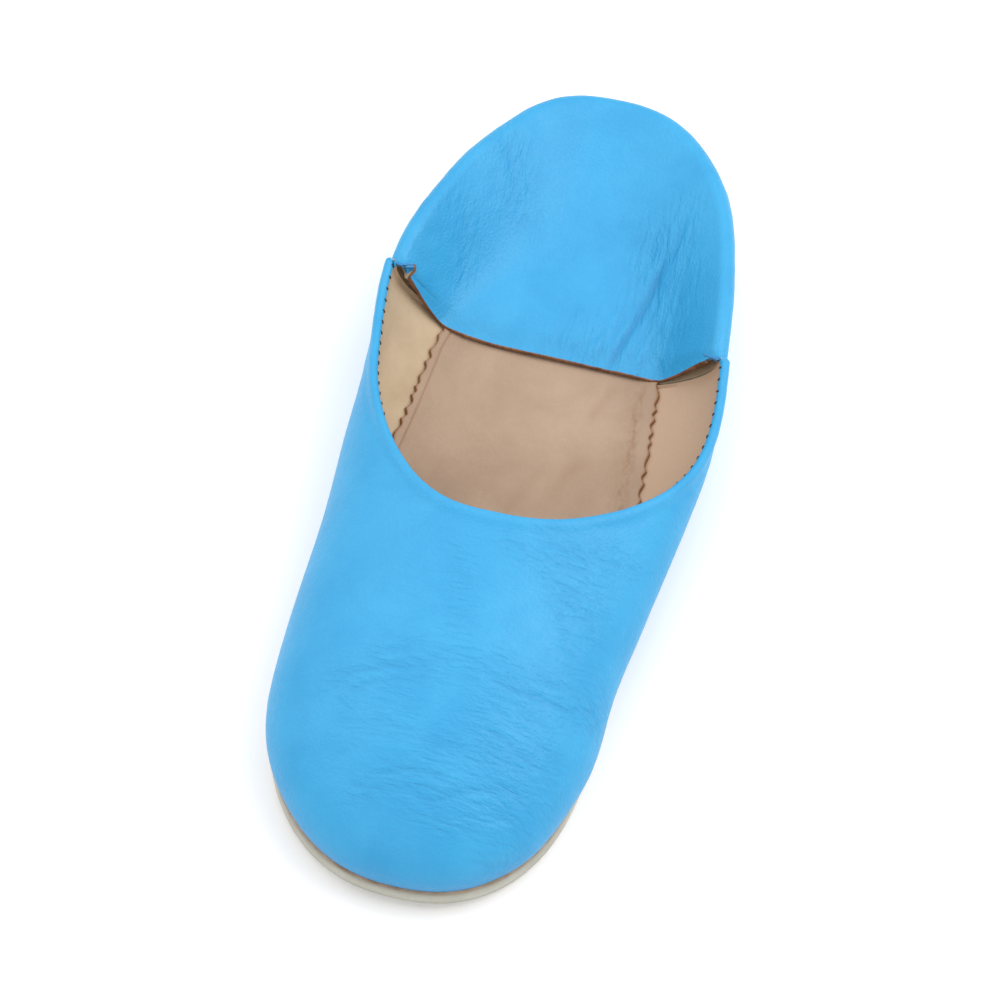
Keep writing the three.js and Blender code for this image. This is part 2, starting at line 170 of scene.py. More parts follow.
@dataclass(frozen=True)
class Last:
    """The last that every piece is made on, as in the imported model."""

    length: float = 257.0
    ball_breadth: float = 84.0
    instep_height: float = 40.0
    sole_thickness: float = 4.5
    gap: float = 0.3
    toe_spring: float = 3.0
    toe_spring_length: float = 45.0
    arch_lift: float = 0.8
    arch_from: float = 105.0
    arch_to: float = 175.0
    heel_lift: float = 0.8
    heel_lift_length: float = 12.0
    toe_round: float = 60.0
    toe_power: float = 2.3
    heel_round: float = 38.0
    heel_power: float = 2.2
    plan_power: float = 2.7
    rise_power: float = 2.0
    bulge_peak: float = 0.45
    foot_fade_rise: float = 4.0
    box_middle_station: float = 129.77
    box_middle_across: float = 2.83
    rows: tuple[LastRow, ...] = (
        LastRow(along=0.0, centre=-0.5, breadth=1.0, medial=3.0, lateral=3.0, rise=0.68),
        LastRow(along=0.12, centre=-2.0, breadth=1.02, medial=4.0, lateral=4.0, rise=0.75),
        LastRow(along=0.23, centre=-2.0, breadth=1.0, medial=4.5, lateral=5.5, rise=0.85),
        LastRow(along=0.35, centre=-1.5, breadth=0.95, medial=6.5, lateral=11.0, rise=0.95),
        LastRow(along=0.47, centre=-0.5, breadth=0.88, medial=10.5, lateral=18.0, rise=1.12),
        LastRow(along=0.58, centre=0.5, breadth=0.81, medial=15.0, lateral=22.0, rise=1.32),
        LastRow(along=0.71, centre=1.0, breadth=0.75, medial=20.0, lateral=20.5, rise=1.5),
        LastRow(along=0.84, centre=1.0, breadth=0.73, medial=12.5, lateral=16.0, rise=1.6),
        LastRow(along=0.93, centre=1.0, breadth=0.71, medial=5.5, lateral=10.0, rise=1.65),
        LastRow(along=1.0, centre=1.0, breadth=0.71, medial=6.5, lateral=8.0, rise=1.65),
    )

    def section(self, name: str, station: Array | float) -> Array:
        """Reads one column of the last's table at stations, with a cubic through its rows.

        Args:
            name: The column.
            station: Distances back from the toe end.

        Returns:
            The column's values.
        """
        along = np.array([row.along for row in self.rows])
        values = np.array([getattr(row, name) for row in self.rows])
        slopes = np.zeros(len(values))
        slopes[1:-1] = (values[2:] - values[:-2]) / (along[2:] - along[:-2])
        place = np.clip(np.asarray(station, float) / self.length, 0.0, 1.0)
        below = np.clip(np.searchsorted(along, place, side="right") - 1, 0, len(along) - 2)
        span = along[below + 1] - along[below]
        t = (place - along[below]) / span
        leave = t * (1.0 - t) * (1.0 - t) * span * slopes[below]
        arrive = t * t * (t - 1.0) * span * slopes[below + 1]
        return mix(values[below], values[below + 1], t * t * (3.0 - 2.0 * t)) + leave + arrive

    def half(self, station: Array | float) -> Array:
        """Half the breadth of the upper's foot."""
        return self.ball_breadth / 2.0 * self.section("breadth", station)

    def arch(self, station: Array | float) -> Array:
        """Height of the closed arch over the bed."""
        return self.instep_height * self.section("rise", station)

    def underside(self, station: Array | float) -> Array:
        """Height of the outsole's underside: toe spring, arch and heel."""
        at = np.asarray(station, float)
        toe = np.clip((self.toe_spring_length - at) / self.toe_spring_length, 0.0, 1.0)
        arch = np.clip((at - self.arch_from) / (self.arch_to - self.arch_from), 0.0, 1.0)
        heel = np.clip((at - self.length + self.heel_lift_length) / self.heel_lift_length, 0.0, 1.0)
        lift = self.arch_lift * np.sin(np.pi * arch) ** 2
        return self.toe_spring * toe**2 + lift + self.heel_lift * heel**2

    def bed(self, station: Array | float) -> Array:
        """Height of the plane that the upper's foot and the insole stand on."""
        return self.underside(station) + self.sole_thickness + self.gap

    def depth(self, station: Array) -> Array:
        """How deep a station lies in the rounded toe, to -1, or the rounded heel, to 1."""
        heel_start = self.length - self.heel_round
        toe = station / self.toe_round - 1.0
        heel = np.maximum(0.0, (station - heel_start) / self.heel_round)
        return np.where(station < self.toe_round, toe, heel)

    def end(self, depth: Array) -> tuple[Array, Array]:
        """The power and the length of the rounded end that a depth is in."""
        power = np.where(depth < 0.0, self.toe_power, self.heel_power)
        return power, np.where(depth < 0.0, self.toe_round, self.heel_round)

    def outward(self, share: Array, depth: Array, half: Array) -> Array:
        """The way out of the foot in plan.

        Args:
            share: Place across, as a share of the half breadth.
            depth: Depth in a rounded end.
            half: Half breadth.

        Returns:
            Unit directions, across and along.
        """
        power, length = self.end(depth)
        across = np.sign(share) * np.abs(share) ** (power - 1.0) / half
        along = np.sign(depth) * np.abs(depth) ** (power - 1.0) / length
        return unit(np.stack(np.broadcast_arrays(across, along), axis=-1))

    def foot_line(self, side: Array | float, station: Array | float) -> FootLine:
        """Places of the foot line.

        Args:
            side: -1 medial or 1 lateral.
            station: Distances back from the toe end.

        Returns:
            The places.
        """
        at = np.asarray(station, float)
        depth = self.depth(at)
        half = self.half(at)
        power, _ = self.end(depth)
        share = side * np.maximum(0.0, 1.0 - np.abs(depth) ** power) ** (1.0 / power)
        across = self.section("centre", at) + half * share
        return FootLine(across, at, share, depth, self.outward(share, depth, half))

    def surface(self, across: Array, station: Array) -> Array:
        """The outer surface of the closed last over places of its plan.

        Args:
            across: Sideways places.
            station: Distances back from the toe end.

        Returns:
            Points as across, station and height.
        """
        depth = self.depth(station)
        half = self.half(station)
        share = (across - self.section("centre", station)) / half
        power, _ = self.end(depth)
        reach = (np.abs(share) ** power + np.abs(depth) ** power) ** (1.0 / power)
        rise = np.maximum(0.0, 1.0 - reach**self.plan_power) ** (1.0 / self.rise_power)
        out = self.outward(share, depth, half)
        lateral_share = (1.0 + out[..., 0]) / 2.0
        stand = mix(self.section("medial", station), self.section("lateral", station), lateral_share)
        turn = math.log(0.5) / math.log(self.bulge_peak)
        push = stand * np.sin(np.pi * np.clip(rise, 0.0, 1.0) ** turn) * (reach > 0.0)
        height = self.bed(station) + self.arch(station) * rise
        return np.stack([across + out[..., 0] * push, station + out[..., 1] * push, height], axis=-1)

    def wall(self, foot: FootLine, rise: Array | float) -> Array:
        """The wall over places of the foot line, at shares of the arch's height."""
        reach = np.maximum(0.0, 1.0 - np.asarray(rise) ** self.rise_power) ** (1.0 / self.plan_power)
        _, length = self.end(foot.depth)
        station = foot.station - length * foot.depth * (1.0 - reach)
        across = self.section("centre", station) + self.half(station) * foot.share * reach
        return self.surface(across, station)

    def foot_fade(self, points: Array) -> Array:
        """A share that is 0 where points touch the bed and 1 a little above it."""
        return smooth((points[..., 2] - self.bed(points[..., 1])) / self.foot_fade_rise)

    def in_frame(self, points: Array) -> Array:
        """Turns across, station and height in millimetres into the frame's metres."""
        return (points - np.array([self.box_middle_across, self.box_middle_station, 0.0])) * MM


# ---- Creases ----


@dataclass(frozen=True)
class Crease:
    """A soft trough with a low ridge on each side, on a bowed line of the shoe's plan."""

    start: tuple[float, float]
    stop: tuple[float, float]
    width: float
    depth: float
    bow: float = 0.0
    fade: float = 0.3
    ridge_height: float = 0.45
    ridge_place: float = 1.6
    zone_past: float = 0.2
    zone_widths: float = 3.0
    zone_width: float = 2.0

    def local(self, points: Array) -> tuple[Array, Array]:
        """Places points against the crease's line.

        Args:
            points: Points as across, station and height.

        Returns:
            Their share along the line, and their distance off it.
        """
        start = np.array(self.start)
        run = np.array(self.stop) - start
        length = np.linalg.norm(run)
        ahead = run / length
        aside = np.array([-ahead[1], ahead[0]])
        local = points[..., :2] - start
        t = local @ ahead / length
        offset = local @ aside - self.bow * 4.0 * t * (1.0 - t)
        return t, offset

    def height(self, points: Array) -> Array:
        """How far the crease moves points along their normals, below 0 in the trough."""
        t, offset = self.local(points)
        fade = smooth(t / self.fade) * smooth((1.0 - t) / self.fade)
        trough = np.exp(-((offset / self.width) ** 2))
        ridge = np.exp(-(((np.abs(offset) / self.width) - self.ridge_place) ** 2))
        return self.depth * fade * (self.ridge_height * ridge - trough)

    def zone(self, points: Array) -> Array:
        """How strongly points lie in the fine wrinkles round the crease, to 1."""
        t, offset = self.local(points)
        past = self.zone_past
        fade = smooth((t + past) / self.fade) * smooth((1.0 + past - t) / self.fade)
        return fade * np.exp(-((offset / (self.zone_widths * self.width + self.zone_width)) ** 2))


def wrinkled(creases: tuple[Crease, ...], points: Array, strength: float = 0.8) -> Array:
    """The mask of fine wrinkles round some creases, each of them up to a strength."""
    return 1.0 - np.prod([1.0 - strength * line.zone(points) for line in creases], axis=0)


@dataclass(frozen=True)
class Undulation:
    """The slow unevenness of hand stretched leather, as a sum of slanted waves."""

    seed: int
    longest: float
    shortest: float
    amplitude: float
    waves: int = 9

    def height(self, points: Array) -> Array:
        """How far the leather lies off its even surface."""
        draw = np.random.default_rng(self.seed)
        total = np.zeros(points.shape[:-1])
        for _ in range(self.waves):
            length = draw.uniform(self.shortest, self.longest)
            way = unit(draw.normal(size=3))
            total += np.sin(points @ way * (2.0 * np.pi / length) + draw.uniform(0.0, 2.0 * np.pi))
        return self.amplitude * total / math.sqrt(self.waves)


# ---- Meshes ----


@dataclass
class MeshBuilder:
    """Collects grids and rings of points as quads, and makes one mesh object of them."""

    name: str
    last: Last
    points: list[Array] = field(default_factory=list)
    faces: list[Array] = field(default_factory=list)
    masks: dict[str, list[Array]] = field(default_factory=lambda: {"crease": [], "wrinkle": [], "edge": []})
    count: int = 0

    def _add_points(self, points: Array, marks: dict[str, Array]) -> Array:
        """Adds a grid of points and its masks, and gives back the grid of their indices."""
        shape = points.shape[:-1]
        self.points.append(points.reshape(-1, 3))
        for key, layer in self.masks.items():
            layer.append(np.broadcast_to(marks.get(key, 0.0), shape).reshape(-1))
        made = np.arange(self.count, self.count + int(np.prod(shape))).reshape(shape)
        self.count += made.size
        return made

    def _add_quads(self, a: Array, b: Array, c: Array, d: Array) -> None:
        """Adds quads from four grids of indices."""
        self.faces.append(np.stack([a, b, c, d], axis=-1).reshape(-1, 4))

    def shell(
        self,
        outer: Array,
        inner: Array,
        marks: dict[str, Array] | None = None,
        inner_marks: dict[str, Array] | None = None,
    ) -> None:
        """Adds a closed sheet from its outer and inner faces.

        Args:
            outer: Grid of points whose rows crossed with its columns point out.
            inner: The same grid on the inner face.
            marks: Masks of the outer face by name.
            inner_marks: Masks of the inner face by name.
        """
        o = self._add_points(outer, marks or {})
        n = self._add_points(inner, inner_marks or {})
        self._add_quads(o[:-1, :-1], o[1:, :-1], o[1:, 1:], o[:-1, 1:])
        self._add_quads(n[:-1, 1:], n[1:, 1:], n[1:, :-1], n[:-1, :-1])
        self._add_quads(n[:-1, 0], n[1:, 0], o[1:, 0], o[:-1, 0])
        self._add_quads(o[:-1, -1], o[1:, -1], n[1:, -1], n[:-1, -1])
        self._add_quads(n[0, :-1], o[0, :-1], o[0, 1:], n[0, 1:])
        self._add_quads(o[-1, :-1], n[-1, :-1], n[-1, 1:], o[-1, 1:])

    def rings(self, rings: Array, marks: dict[str, Array] | None = None, tube: bool = False) -> None:
        """Adds a surface through closed rings of points.

        Args:
            rings: Rings by places by 3, each ring going toe, lateral, heel, medial.
            marks: Masks of the rings by name.
            tube: Joins the last ring to the first.
        """
        index = self._add_points(rings, marks or {})
        low = index if tube else index[:-1]
        high = np.roll(index, -1, axis=0) if tube else index[1:]
        self._add_quads(low, np.roll(low, -1, axis=1), np.roll(high, -1, axis=1), high)

    def sweep(self, sections: Array) -> None:
        """Adds a closed bar through closed sections, places by points of the section by 3."""
        index = self._add_points(sections, {})
        beside = np.roll(index, -1, axis=1)
        self._add_quads(index[:-1], index[1:], beside[1:], beside[:-1])
        half = index.shape[1] // 2 - 1
        for row, way in ((index[0], 1), (index[-1], -1)):
            near, far = row[: half + 1], row[::-1][: half + 1]
            quads = (near[:-1], near[1:], far[1:], far[:-1])
            self._add_quads(*quads[::way])

    def build(self, materials: list[Material], sharp: float = 50.0) -> bpy.types.Object:
        """Makes the object, merges points that meet and smooths its shading.

        Args:
            materials: The materials of its slots.
            sharp: Angle in degrees over which an edge stays sharp.

        Returns:
            The object, linked to the scene.
        """
        mesh = bpy.data.meshes.new(self.name)
        points = self.last.in_frame(np.concatenate(self.points))
        faces = np.concatenate(self.faces)
        mesh.vertices.add(len(points))
        mesh.vertices.foreach_set("co", points.astype(np.float32).ravel())
        mesh.loops.add(faces.size)
        mesh.loops.foreach_set("vertex_index", faces.astype(np.int32).ravel())
        mesh.polygons.add(len(faces))
        mesh.polygons.foreach_set("loop_start", np.arange(0, faces.size, 4, dtype=np.int32))
        mesh.update(calc_edges=True)
        for key, values in self.masks.items():
            layer = mesh.attributes.new(key, "FLOAT", "POINT")
            layer.data.foreach_set("value", np.concatenate(values).astype(np.float32))
        work = bmesh.new()
        work.from_mesh(mesh)
        bmesh.ops.remove_doubles(work, verts=work.verts, dist=1e-6)
        work.to_mesh(mesh)
        work.free()
        mesh.validate()
        mesh.polygons.foreach_set("use_smooth", np.ones(len(mesh.polygons), dtype=bool))
        mesh.set_sharp_from_angle(angle=math.radians(sharp))
        for material in materials:
            mesh.materials.append(material)
        return add_object(self.name, mesh)


class Slot(Enum):
    """The record's material slots."""

    GOATSKIN = "blue_goatskin"
    NATURAL = "natural_leather"
    SOLE = "sole_leather"


def report(piece: bpy.types.Object, slot: Slot, *nodes: str) -> None:
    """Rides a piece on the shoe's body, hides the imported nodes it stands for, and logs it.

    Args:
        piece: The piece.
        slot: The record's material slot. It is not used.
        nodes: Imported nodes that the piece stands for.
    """
    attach(piece, "root")
    if nodes:
        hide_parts(*nodes)
    LOG.info("%s: %d faces", piece.name, len(piece.data.polygons))


# ---- Finishes ----


Colour = tuple[float, float, float]
Range = tuple[float, float]
MIX_SHARE, MIX_LOW, MIX_HIGH, MIX_RESULT = 0, 6, 7, 2  # the colour sockets of a mix node


class NodeKit:
    """Adds and links the nodes of one tree."""

    def __init__(self, tree: bpy.types.NodeTree) -> None:
        """Keeps the tree."""
        self.tree = tree

    def feed(self, target: bpy.types.NodeSocket, value: object) -> None:
        """Links a socket to an input, or sets the input to a value."""
        if isinstance(value, bpy.types.NodeSocket):
            self.tree.links.new(value, target)
        else:
            target.default_value = value

    def add(self, kind: str, **values: object) -> bpy.types.Node:
        """Adds a node.

        Args:
            kind: The node's type.
            values: Properties of the node, or values or sockets for its inputs.

        Returns:
            The node.
        """
        node = self.tree.nodes.new(kind)
        for key, value in values.items():
            if hasattr(node, key):
                setattr(node, key, value)
            else:
                self.feed(node.inputs[key.replace("_", " ")], value)
        return node

    def faces(self, in_out: str, kind: str, *names: str) -> None:
        """Gives the tree inputs or outputs of one kind."""
        for name in names:
            self.tree.interface.new_socket(name=name, in_out=in_out, socket_type=f"NodeSocket{kind}")

    def mask(self, name: str) -> bpy.types.NodeSocket:
        """Reads one of the mesh's masks."""
        return self.add("ShaderNodeAttribute", attribute_name=name).outputs["Fac"]

    def math(self, operation: str, *values: object) -> bpy.types.NodeSocket:
        """Adds a math node of sockets or numbers, and gives back its output."""
        node = self.add("ShaderNodeMath", operation=operation)
        for target, value in zip(node.inputs, values):
            self.feed(target, value)
        return node.outputs[0]

    def noise(self, place: object, scale: object, **values: float) -> bpy.types.NodeSocket:
        """Adds a noise texture at a place, and gives back its value."""
        return self.add("ShaderNodeTexNoise", Vector=place, Scale=scale, **values).outputs[0]

    def blend(self, share: object, low: object, high: object) -> bpy.types.NodeSocket:
        """Mixes two colours by a share, and gives back the colour."""
        node = self.add("ShaderNodeMix", data_type="RGBA")
        for index, value in ((MIX_SHARE, share), (MIX_LOW, low), (MIX_HIGH, high)):
            self.feed(node.inputs[index], (*value, 1.0) if isinstance(value, tuple) else value)
        return node.outputs[MIX_RESULT]

    def spread(self, value: bpy.types.NodeSocket, source: Range, target: Range) -> bpy.types.NodeSocket:
        """Maps a value from one range to another, smoothly and held."""
        node = self.add(
            "ShaderNodeMapRange",
            interpolation_type="SMOOTHSTEP",
            Value=value,
            From_Min=source[0],
            From_Max=source[1],
            To_Min=target[0],
            To_Max=target[1],
        )
        return node.outputs["Result"]

    def finish(
        self,
        colour: object,
        rough: object,
        specular: float,
        height: object,
        relief: float,
        bump: float,
    ) -> None:
        """Ends a material's tree with its shader and its bump.

        Args:
            colour: The base colour.
            rough: The roughness.
            specular: The specular level.
            height: The bump's height.
            relief: The bump's depth in millimetres.
            bump: The bump's strength.
        """
        normal = self.add("ShaderNodeBump", Strength=bump, Distance=relief * MM, Height=height)
        shader = self.add("ShaderNodeBsdfPrincipled", Base_Color=colour, Roughness=rough)
        self.feed(shader.inputs["Specular IOR Level"], specular)
        self.feed(shader.inputs["Normal"], normal.outputs["Normal"])
        self.add("ShaderNodeOutputMaterial", Surface=shader.outputs["BSDF"])


def blank_material(name: str) -> tuple[Material, NodeKit]:
    """Makes a material with an empty tree, and a kit for it."""
    made = bpy.data.materials.new(name)
    made.use_nodes = True
    made.node_tree.nodes.clear()
    return made, NodeKit(made.node_tree)


PORE_CELL = (0.1, 0.75)  # from a pore's middle to its rim
LONG_LINE_WIDTH = (0.0, 0.1)
LONG_LINE_DEPTH = 0.55
CREPING_FINENESS = 2.8  # against the long wrinkles
CREPING_BAND = (0.32, 0.68)
CREPING_DEPTH = 0.9
MOTTLE_BAND = (0.3, 0.7)


def leather_group() -> bpy.types.NodeTree:
    """Builds the shared leather surface: grain, fine wrinkles and mottling.

    Returns:
        A shader node group. Height feeds a bump, Mottle and Pores vary colour and gloss, and Fold marks the
        wrinkle lines that the materials darken with painted shade.
    """
    tree = bpy.data.node_groups.new("leather_surface", "ShaderNodeTree")
    kit = NodeKit(tree)
    kit.faces("INPUT", "Float", "Grain Scale", "Grain Depth")
    kit.faces("INPUT", "Float", "Wrinkle Scale", "Wrinkle Depth", "Wrinkle Zone", "Mottle Scale")
    kit.faces("INPUT", "Vector", "Stretch")
    kit.faces("OUTPUT", "Float", "Height", "Mottle", "Pores", "Fold")
    given = kit.add("NodeGroupInput").outputs
    spot = kit.add("ShaderNodeTexCoord").outputs["Object"]
    scaled = kit.add("ShaderNodeVectorMath", operation="MULTIPLY")
    kit.feed(scaled.inputs[0], spot)
    kit.feed(scaled.inputs[1], given["Stretch"])
    drawn = scaled.outputs[0]
    cells = kit.add("ShaderNodeTexVoronoi", feature="SMOOTH_F1", Smoothness=0.6, Vector=spot)
    kit.feed(cells.inputs["Scale"], given["Grain Scale"])
    fineness = given["Wrinkle Scale"]
    wrinkles = kit.noise(drawn, fineness, Detail=1.2, Roughness=0.4, Distortion=0.15)
    fineness = kit.math("MULTIPLY", fineness, CREPING_FINENESS)
    creping = kit.noise(drawn, fineness, Detail=3.0, Roughness=0.55, Distortion=0.3)
    mottle = kit.noise(spot, given["Mottle Scale"], Detail=4.0, Roughness=0.6, Distortion=0.3)
    pores = kit.spread(cells.outputs["Distance"], PORE_CELL, (1.0, 0.0))
    off_middle = kit.math("ABSOLUTE", kit.math("SUBTRACT", wrinkles, 0.5), 0.0)
    long_lines = kit.spread(off_middle, LONG_LINE_WIDTH, (LONG_LINE_DEPTH, 0.0))
    ripples = kit.spread(creping, CREPING_BAND, (CREPING_DEPTH, 0.0))
    lines = kit.math("MULTIPLY", kit.math("ADD", long_lines, ripples), given["Wrinkle Zone"])
    sunk = kit.math("MULTIPLY", lines, given["Wrinkle Depth"])
    grain = kit.math("MULTIPLY", pores, given["Grain Depth"])
    kit.add(
        "NodeGroupOutput",
        Height=kit.math("SUBTRACT", grain, sunk),
        Mottle=kit.spread(mottle, MOTTLE_BAND, (0.0, 1.0)),
        Pores=pores,
        Fold=lines,
    )
    return tree


@dataclass(frozen=True)
class Leather:
    """A leather finish: its colours, with painted shade and highlight for creases and edges, its gloss and
    the scale of its surface.
    """

    name: str
    light: Colour
    dark: Colour
    painted_crease_shade: Colour
    edge_shade_and_burnish: Colour
    grain_scale: float
    grain_depth: float
    wrinkle_scale: float
    wrinkle_depth: float
    mottle_scale: float
    relief: float = 0.16
    roughness: Range = (0.6, 0.8)
    specular: float = 0.3
    even_wrinkles: float = 0.15
    fold_line_shade_share: float = 0.16
    trough_shade_share: float = 0.7
    ridge_highlight_share: float = 0.35
    stretch: tuple[float, float, float] = (1.0, 1.0, 1.0)

    def material(self, group: bpy.types.NodeTree) -> Material:
        """Makes the finish's material on the shared leather surface."""
        made, kit = blank_material(self.name)
        surface = kit.add(
            "ShaderNodeGroup",
            node_tree=group,
            Grain_Scale=self.grain_scale,
            Grain_Depth=self.grain_depth,
            Wrinkle_Scale=self.wrinkle_scale,
            Wrinkle_Depth=self.wrinkle_depth,
            Wrinkle_Zone=kit.math("MAXIMUM", kit.mask("wrinkle"), self.even_wrinkles),
            Mottle_Scale=self.mottle_scale,
            Stretch=self.stretch,
        ).outputs
        # Painted shade in the crease troughs and the fine wrinkle lines, and a painted highlight on the
        # crease ridges.
        crease = kit.mask("crease")
        trough = kit.spread(crease, (0.0, -1.0), (0.0, self.trough_shade_share))
        ridge = kit.spread(crease, (0.0, 0.5), (0.0, self.ridge_highlight_share))
        fold = kit.math("MULTIPLY", surface["Fold"], self.fold_line_shade_share)
        base = kit.blend(surface["Mottle"], self.dark, self.light)
        # The edge mask's colour is painted shade on the upper, the lining and the sole's rounded edges, and
        # on the insole it is the burnished pinked edge with painted shadow.
        for share, tone in (
            (trough, self.painted_crease_shade),
            (ridge, self.light),
            (fold, self.painted_crease_shade),
            (kit.mask("edge"), self.edge_shade_and_burnish),
        ):
            base = kit.blend(share, base, tone)
        rough = kit.spread(surface["Pores"], (0.0, 1.0), self.roughness)
        kit.finish(base, rough, self.specular, surface["Height"], self.relief, 1.0)
        return made


@dataclass(frozen=True)
class Thread:
    """A waxed thread finish with a twisted strand."""

    name: str
    light: Colour
    dark: Colour
    twist: float = 2200.0
    twist_wander: float = 1.5
    roughness: float = 0.6
    specular: float = 0.5
    relief: float = 0.1
    bump: float = 0.6

    def material(self) -> Material:
        """Makes the thread's material."""
        made, kit = blank_material(self.name)
        wave = kit.add(
            "ShaderNodeTexWave",
            bands_direction="DIAGONAL",
            Vector=kit.add("ShaderNodeTexCoord").outputs["Object"],
            Scale=self.twist,
            Distortion=self.twist_wander,
        )
        strands = wave.outputs["Fac"]
        # Painted shade in the twist's hollows: the dark colour lies where the strands' bump is low.
        colour = kit.blend(strands, self.dark, self.light)
        kit.finish(colour, self.roughness, self.specular, strands, self.relief, self.bump)
        return made


GOATSKIN = Leather(
    name="sky_blue_goatskin",
    light=(0.042, 0.362, 0.67),
    # Painted shade in the creases and low on the walls.
    dark=(0.031, 0.322, 0.625),
    painted_crease_shade=(0.02, 0.22, 0.48),
    edge_shade_and_burnish=(0.008, 0.25, 0.56),
    roughness=(0.4, 0.5),
    grain_scale=1300.0,
    grain_depth=0.25,
    wrinkle_scale=260.0,
    wrinkle_depth=0.8,
    mottle_scale=45.0,
    relief=0.22,
    specular=0.34,
    stretch=(0.25, 1.0, 0.6),
)
QUARTER_GOATSKIN = replace(GOATSKIN, name="sky_blue_goatskin_lengthwise", stretch=(1.0, 0.22, 0.5))
MARGIN = Leather(
    name="turned_margin_leather",
    light=(0.45, 0.34, 0.25),
    dark=(0.30, 0.20, 0.13),
    painted_crease_shade=(0.2, 0.1, 0.06),
    edge_shade_and_burnish=(0.2, 0.1, 0.06),
    grain_scale=2000.0,
    grain_depth=0.5,
    wrinkle_scale=700.0,
    wrinkle_depth=0.4,
    mottle_scale=160.0,
)
LINING = Leather(
    name="pale_sheepskin_lining",
    light=(0.58, 0.445, 0.30),
    dark=(0.50, 0.37, 0.24),
    painted_crease_shade=(0.42, 0.26, 0.15),
    edge_shade_and_burnish=(0.505, 0.345, 0.24),
    roughness=(0.62, 0.75),
    grain_scale=1500.0,
    grain_depth=0.2,
    wrinkle_scale=260.0,
    wrinkle_depth=0.25,
    mottle_scale=60.0,
    relief=0.14,
)
INSOLE = Leather(
    name="tan_sheepskin_insole",
    light=(0.435, 0.31, 0.224),
    dark=(0.365, 0.253, 0.178),
    painted_crease_shade=(0.26, 0.135, 0.065),
    edge_shade_and_burnish=(0.27, 0.12, 0.048),
    roughness=(0.6, 0.75),
    grain_scale=1500.0,
    grain_depth=0.2,
    wrinkle_scale=240.0,
    wrinkle_depth=0.8,
    mottle_scale=34.0,
    even_wrinkles=0.06,
    fold_line_shade_share=0.4,
    stretch=(1.0, 0.55, 1.0),
)
SOLE = Leather(
    name="pale_sole_leather",
    light=(0.54, 0.54, 0.475),
    dark=(0.45, 0.44, 0.38),
    painted_crease_shade=(0.3, 0.22, 0.15),
    edge_shade_and_burnish=(0.33, 0.27, 0.19),
    grain_scale=1100.0,
    grain_depth=0.4,
    wrinkle_scale=420.0,
    wrinkle_depth=0.5,
    mottle_scale=70.0,
    relief=0.2,
)
CUT_EDGE = Leather(
    name="burnt_cut_edge",
    light=(0.34, 0.155, 0.07),
    dark=(0.16, 0.068, 0.03),
    painted_crease_shade=(0.12, 0.05, 0.02),
    edge_shade_and_burnish=(0.12, 0.05, 0.02),
    grain_scale=2200.0,
    grain_depth=0.6,
    wrinkle_scale=800.0,
    wrinkle_depth=0.6,
    mottle_scale=260.0,
)
DARK_THREAD = Thread(name="dark_brown_thread", light=(0.07, 0.035, 0.018), dark=(0.02, 0.01, 0.006))
BLUE_THREAD = Thread(name="blue_thread", light=(0.09, 0.42, 0.80), dark=(0.02, 0.14, 0.36))


# ---- The upper ----


@dataclass(frozen=True)
class Seams:
    """The throat's outline and the places where the wings meet the quarter."""

    throat_station: float = 96.0
    throat_power_medial: float = 2.5
    throat_power_lateral: float = 3.0
    junction_medial: float = 180.0
    junction_lateral: float = 172.0
    reach_medial: float = 0.93
    reach_lateral: float = 0.935

    def junction(self, side: Array | float) -> Array:
        """The station where a wing ends and the quarter begins."""
        return np.where(np.asarray(side) < 0.0, self.junction_medial, self.junction_lateral)

    def throat(self, last: Last, side: Array, share: Array) -> Array:
        """The throat's edge in plan.

        Args:
            last: The last.
            side: -1 medial or 1 lateral.
            share: 0 on the instep to 1 at a junction.

        Returns:
            Places as across and station.
        """
        angle = share * np.pi / 2.0
        power = 2.0 / np.where(side < 0.0, self.throat_power_medial, self.throat_power_lateral)
        span = np.where(side < 0.0, self.reach_medial, self.reach_lateral)
        back = self.junction(side) - last.gap / 2.0
        station = mix(back, self.throat_station, np.clip(np.cos(angle), 0.0, 1.0) ** power)
        reach = span * np.sin(angle) ** power
        across = last.section("centre", station) + side * reach * last.half(station)
        return np.stack([across, station], axis=-1)


def rolled_seam(distance: Array, radius: float) -> Array:
    """How far a sheet turns in beside a seam, at distances from it."""
    short = np.clip(1.0 - distance / radius, 0.0, 1.0)
    return radius * (1.0 - np.sqrt(np.maximum(0.0, 1.0 - short**2)))


def low_wall_shade(last: Last, points: Array, share: float = 0.75, rise: float = 11.0) -> Array:
    """Painted shade low on the upper's walls, darkest at the sole, as a mask.

    Args:
        last: The last.
        points: Points of the upper.
        share: The mask at the sole.
        rise: How far up it fades out.

    Returns:
        The mask at each point.
    """
    above = points[..., 2] - last.bed(points[..., 1])
    return share * (1.0 - smooth(above / rise))


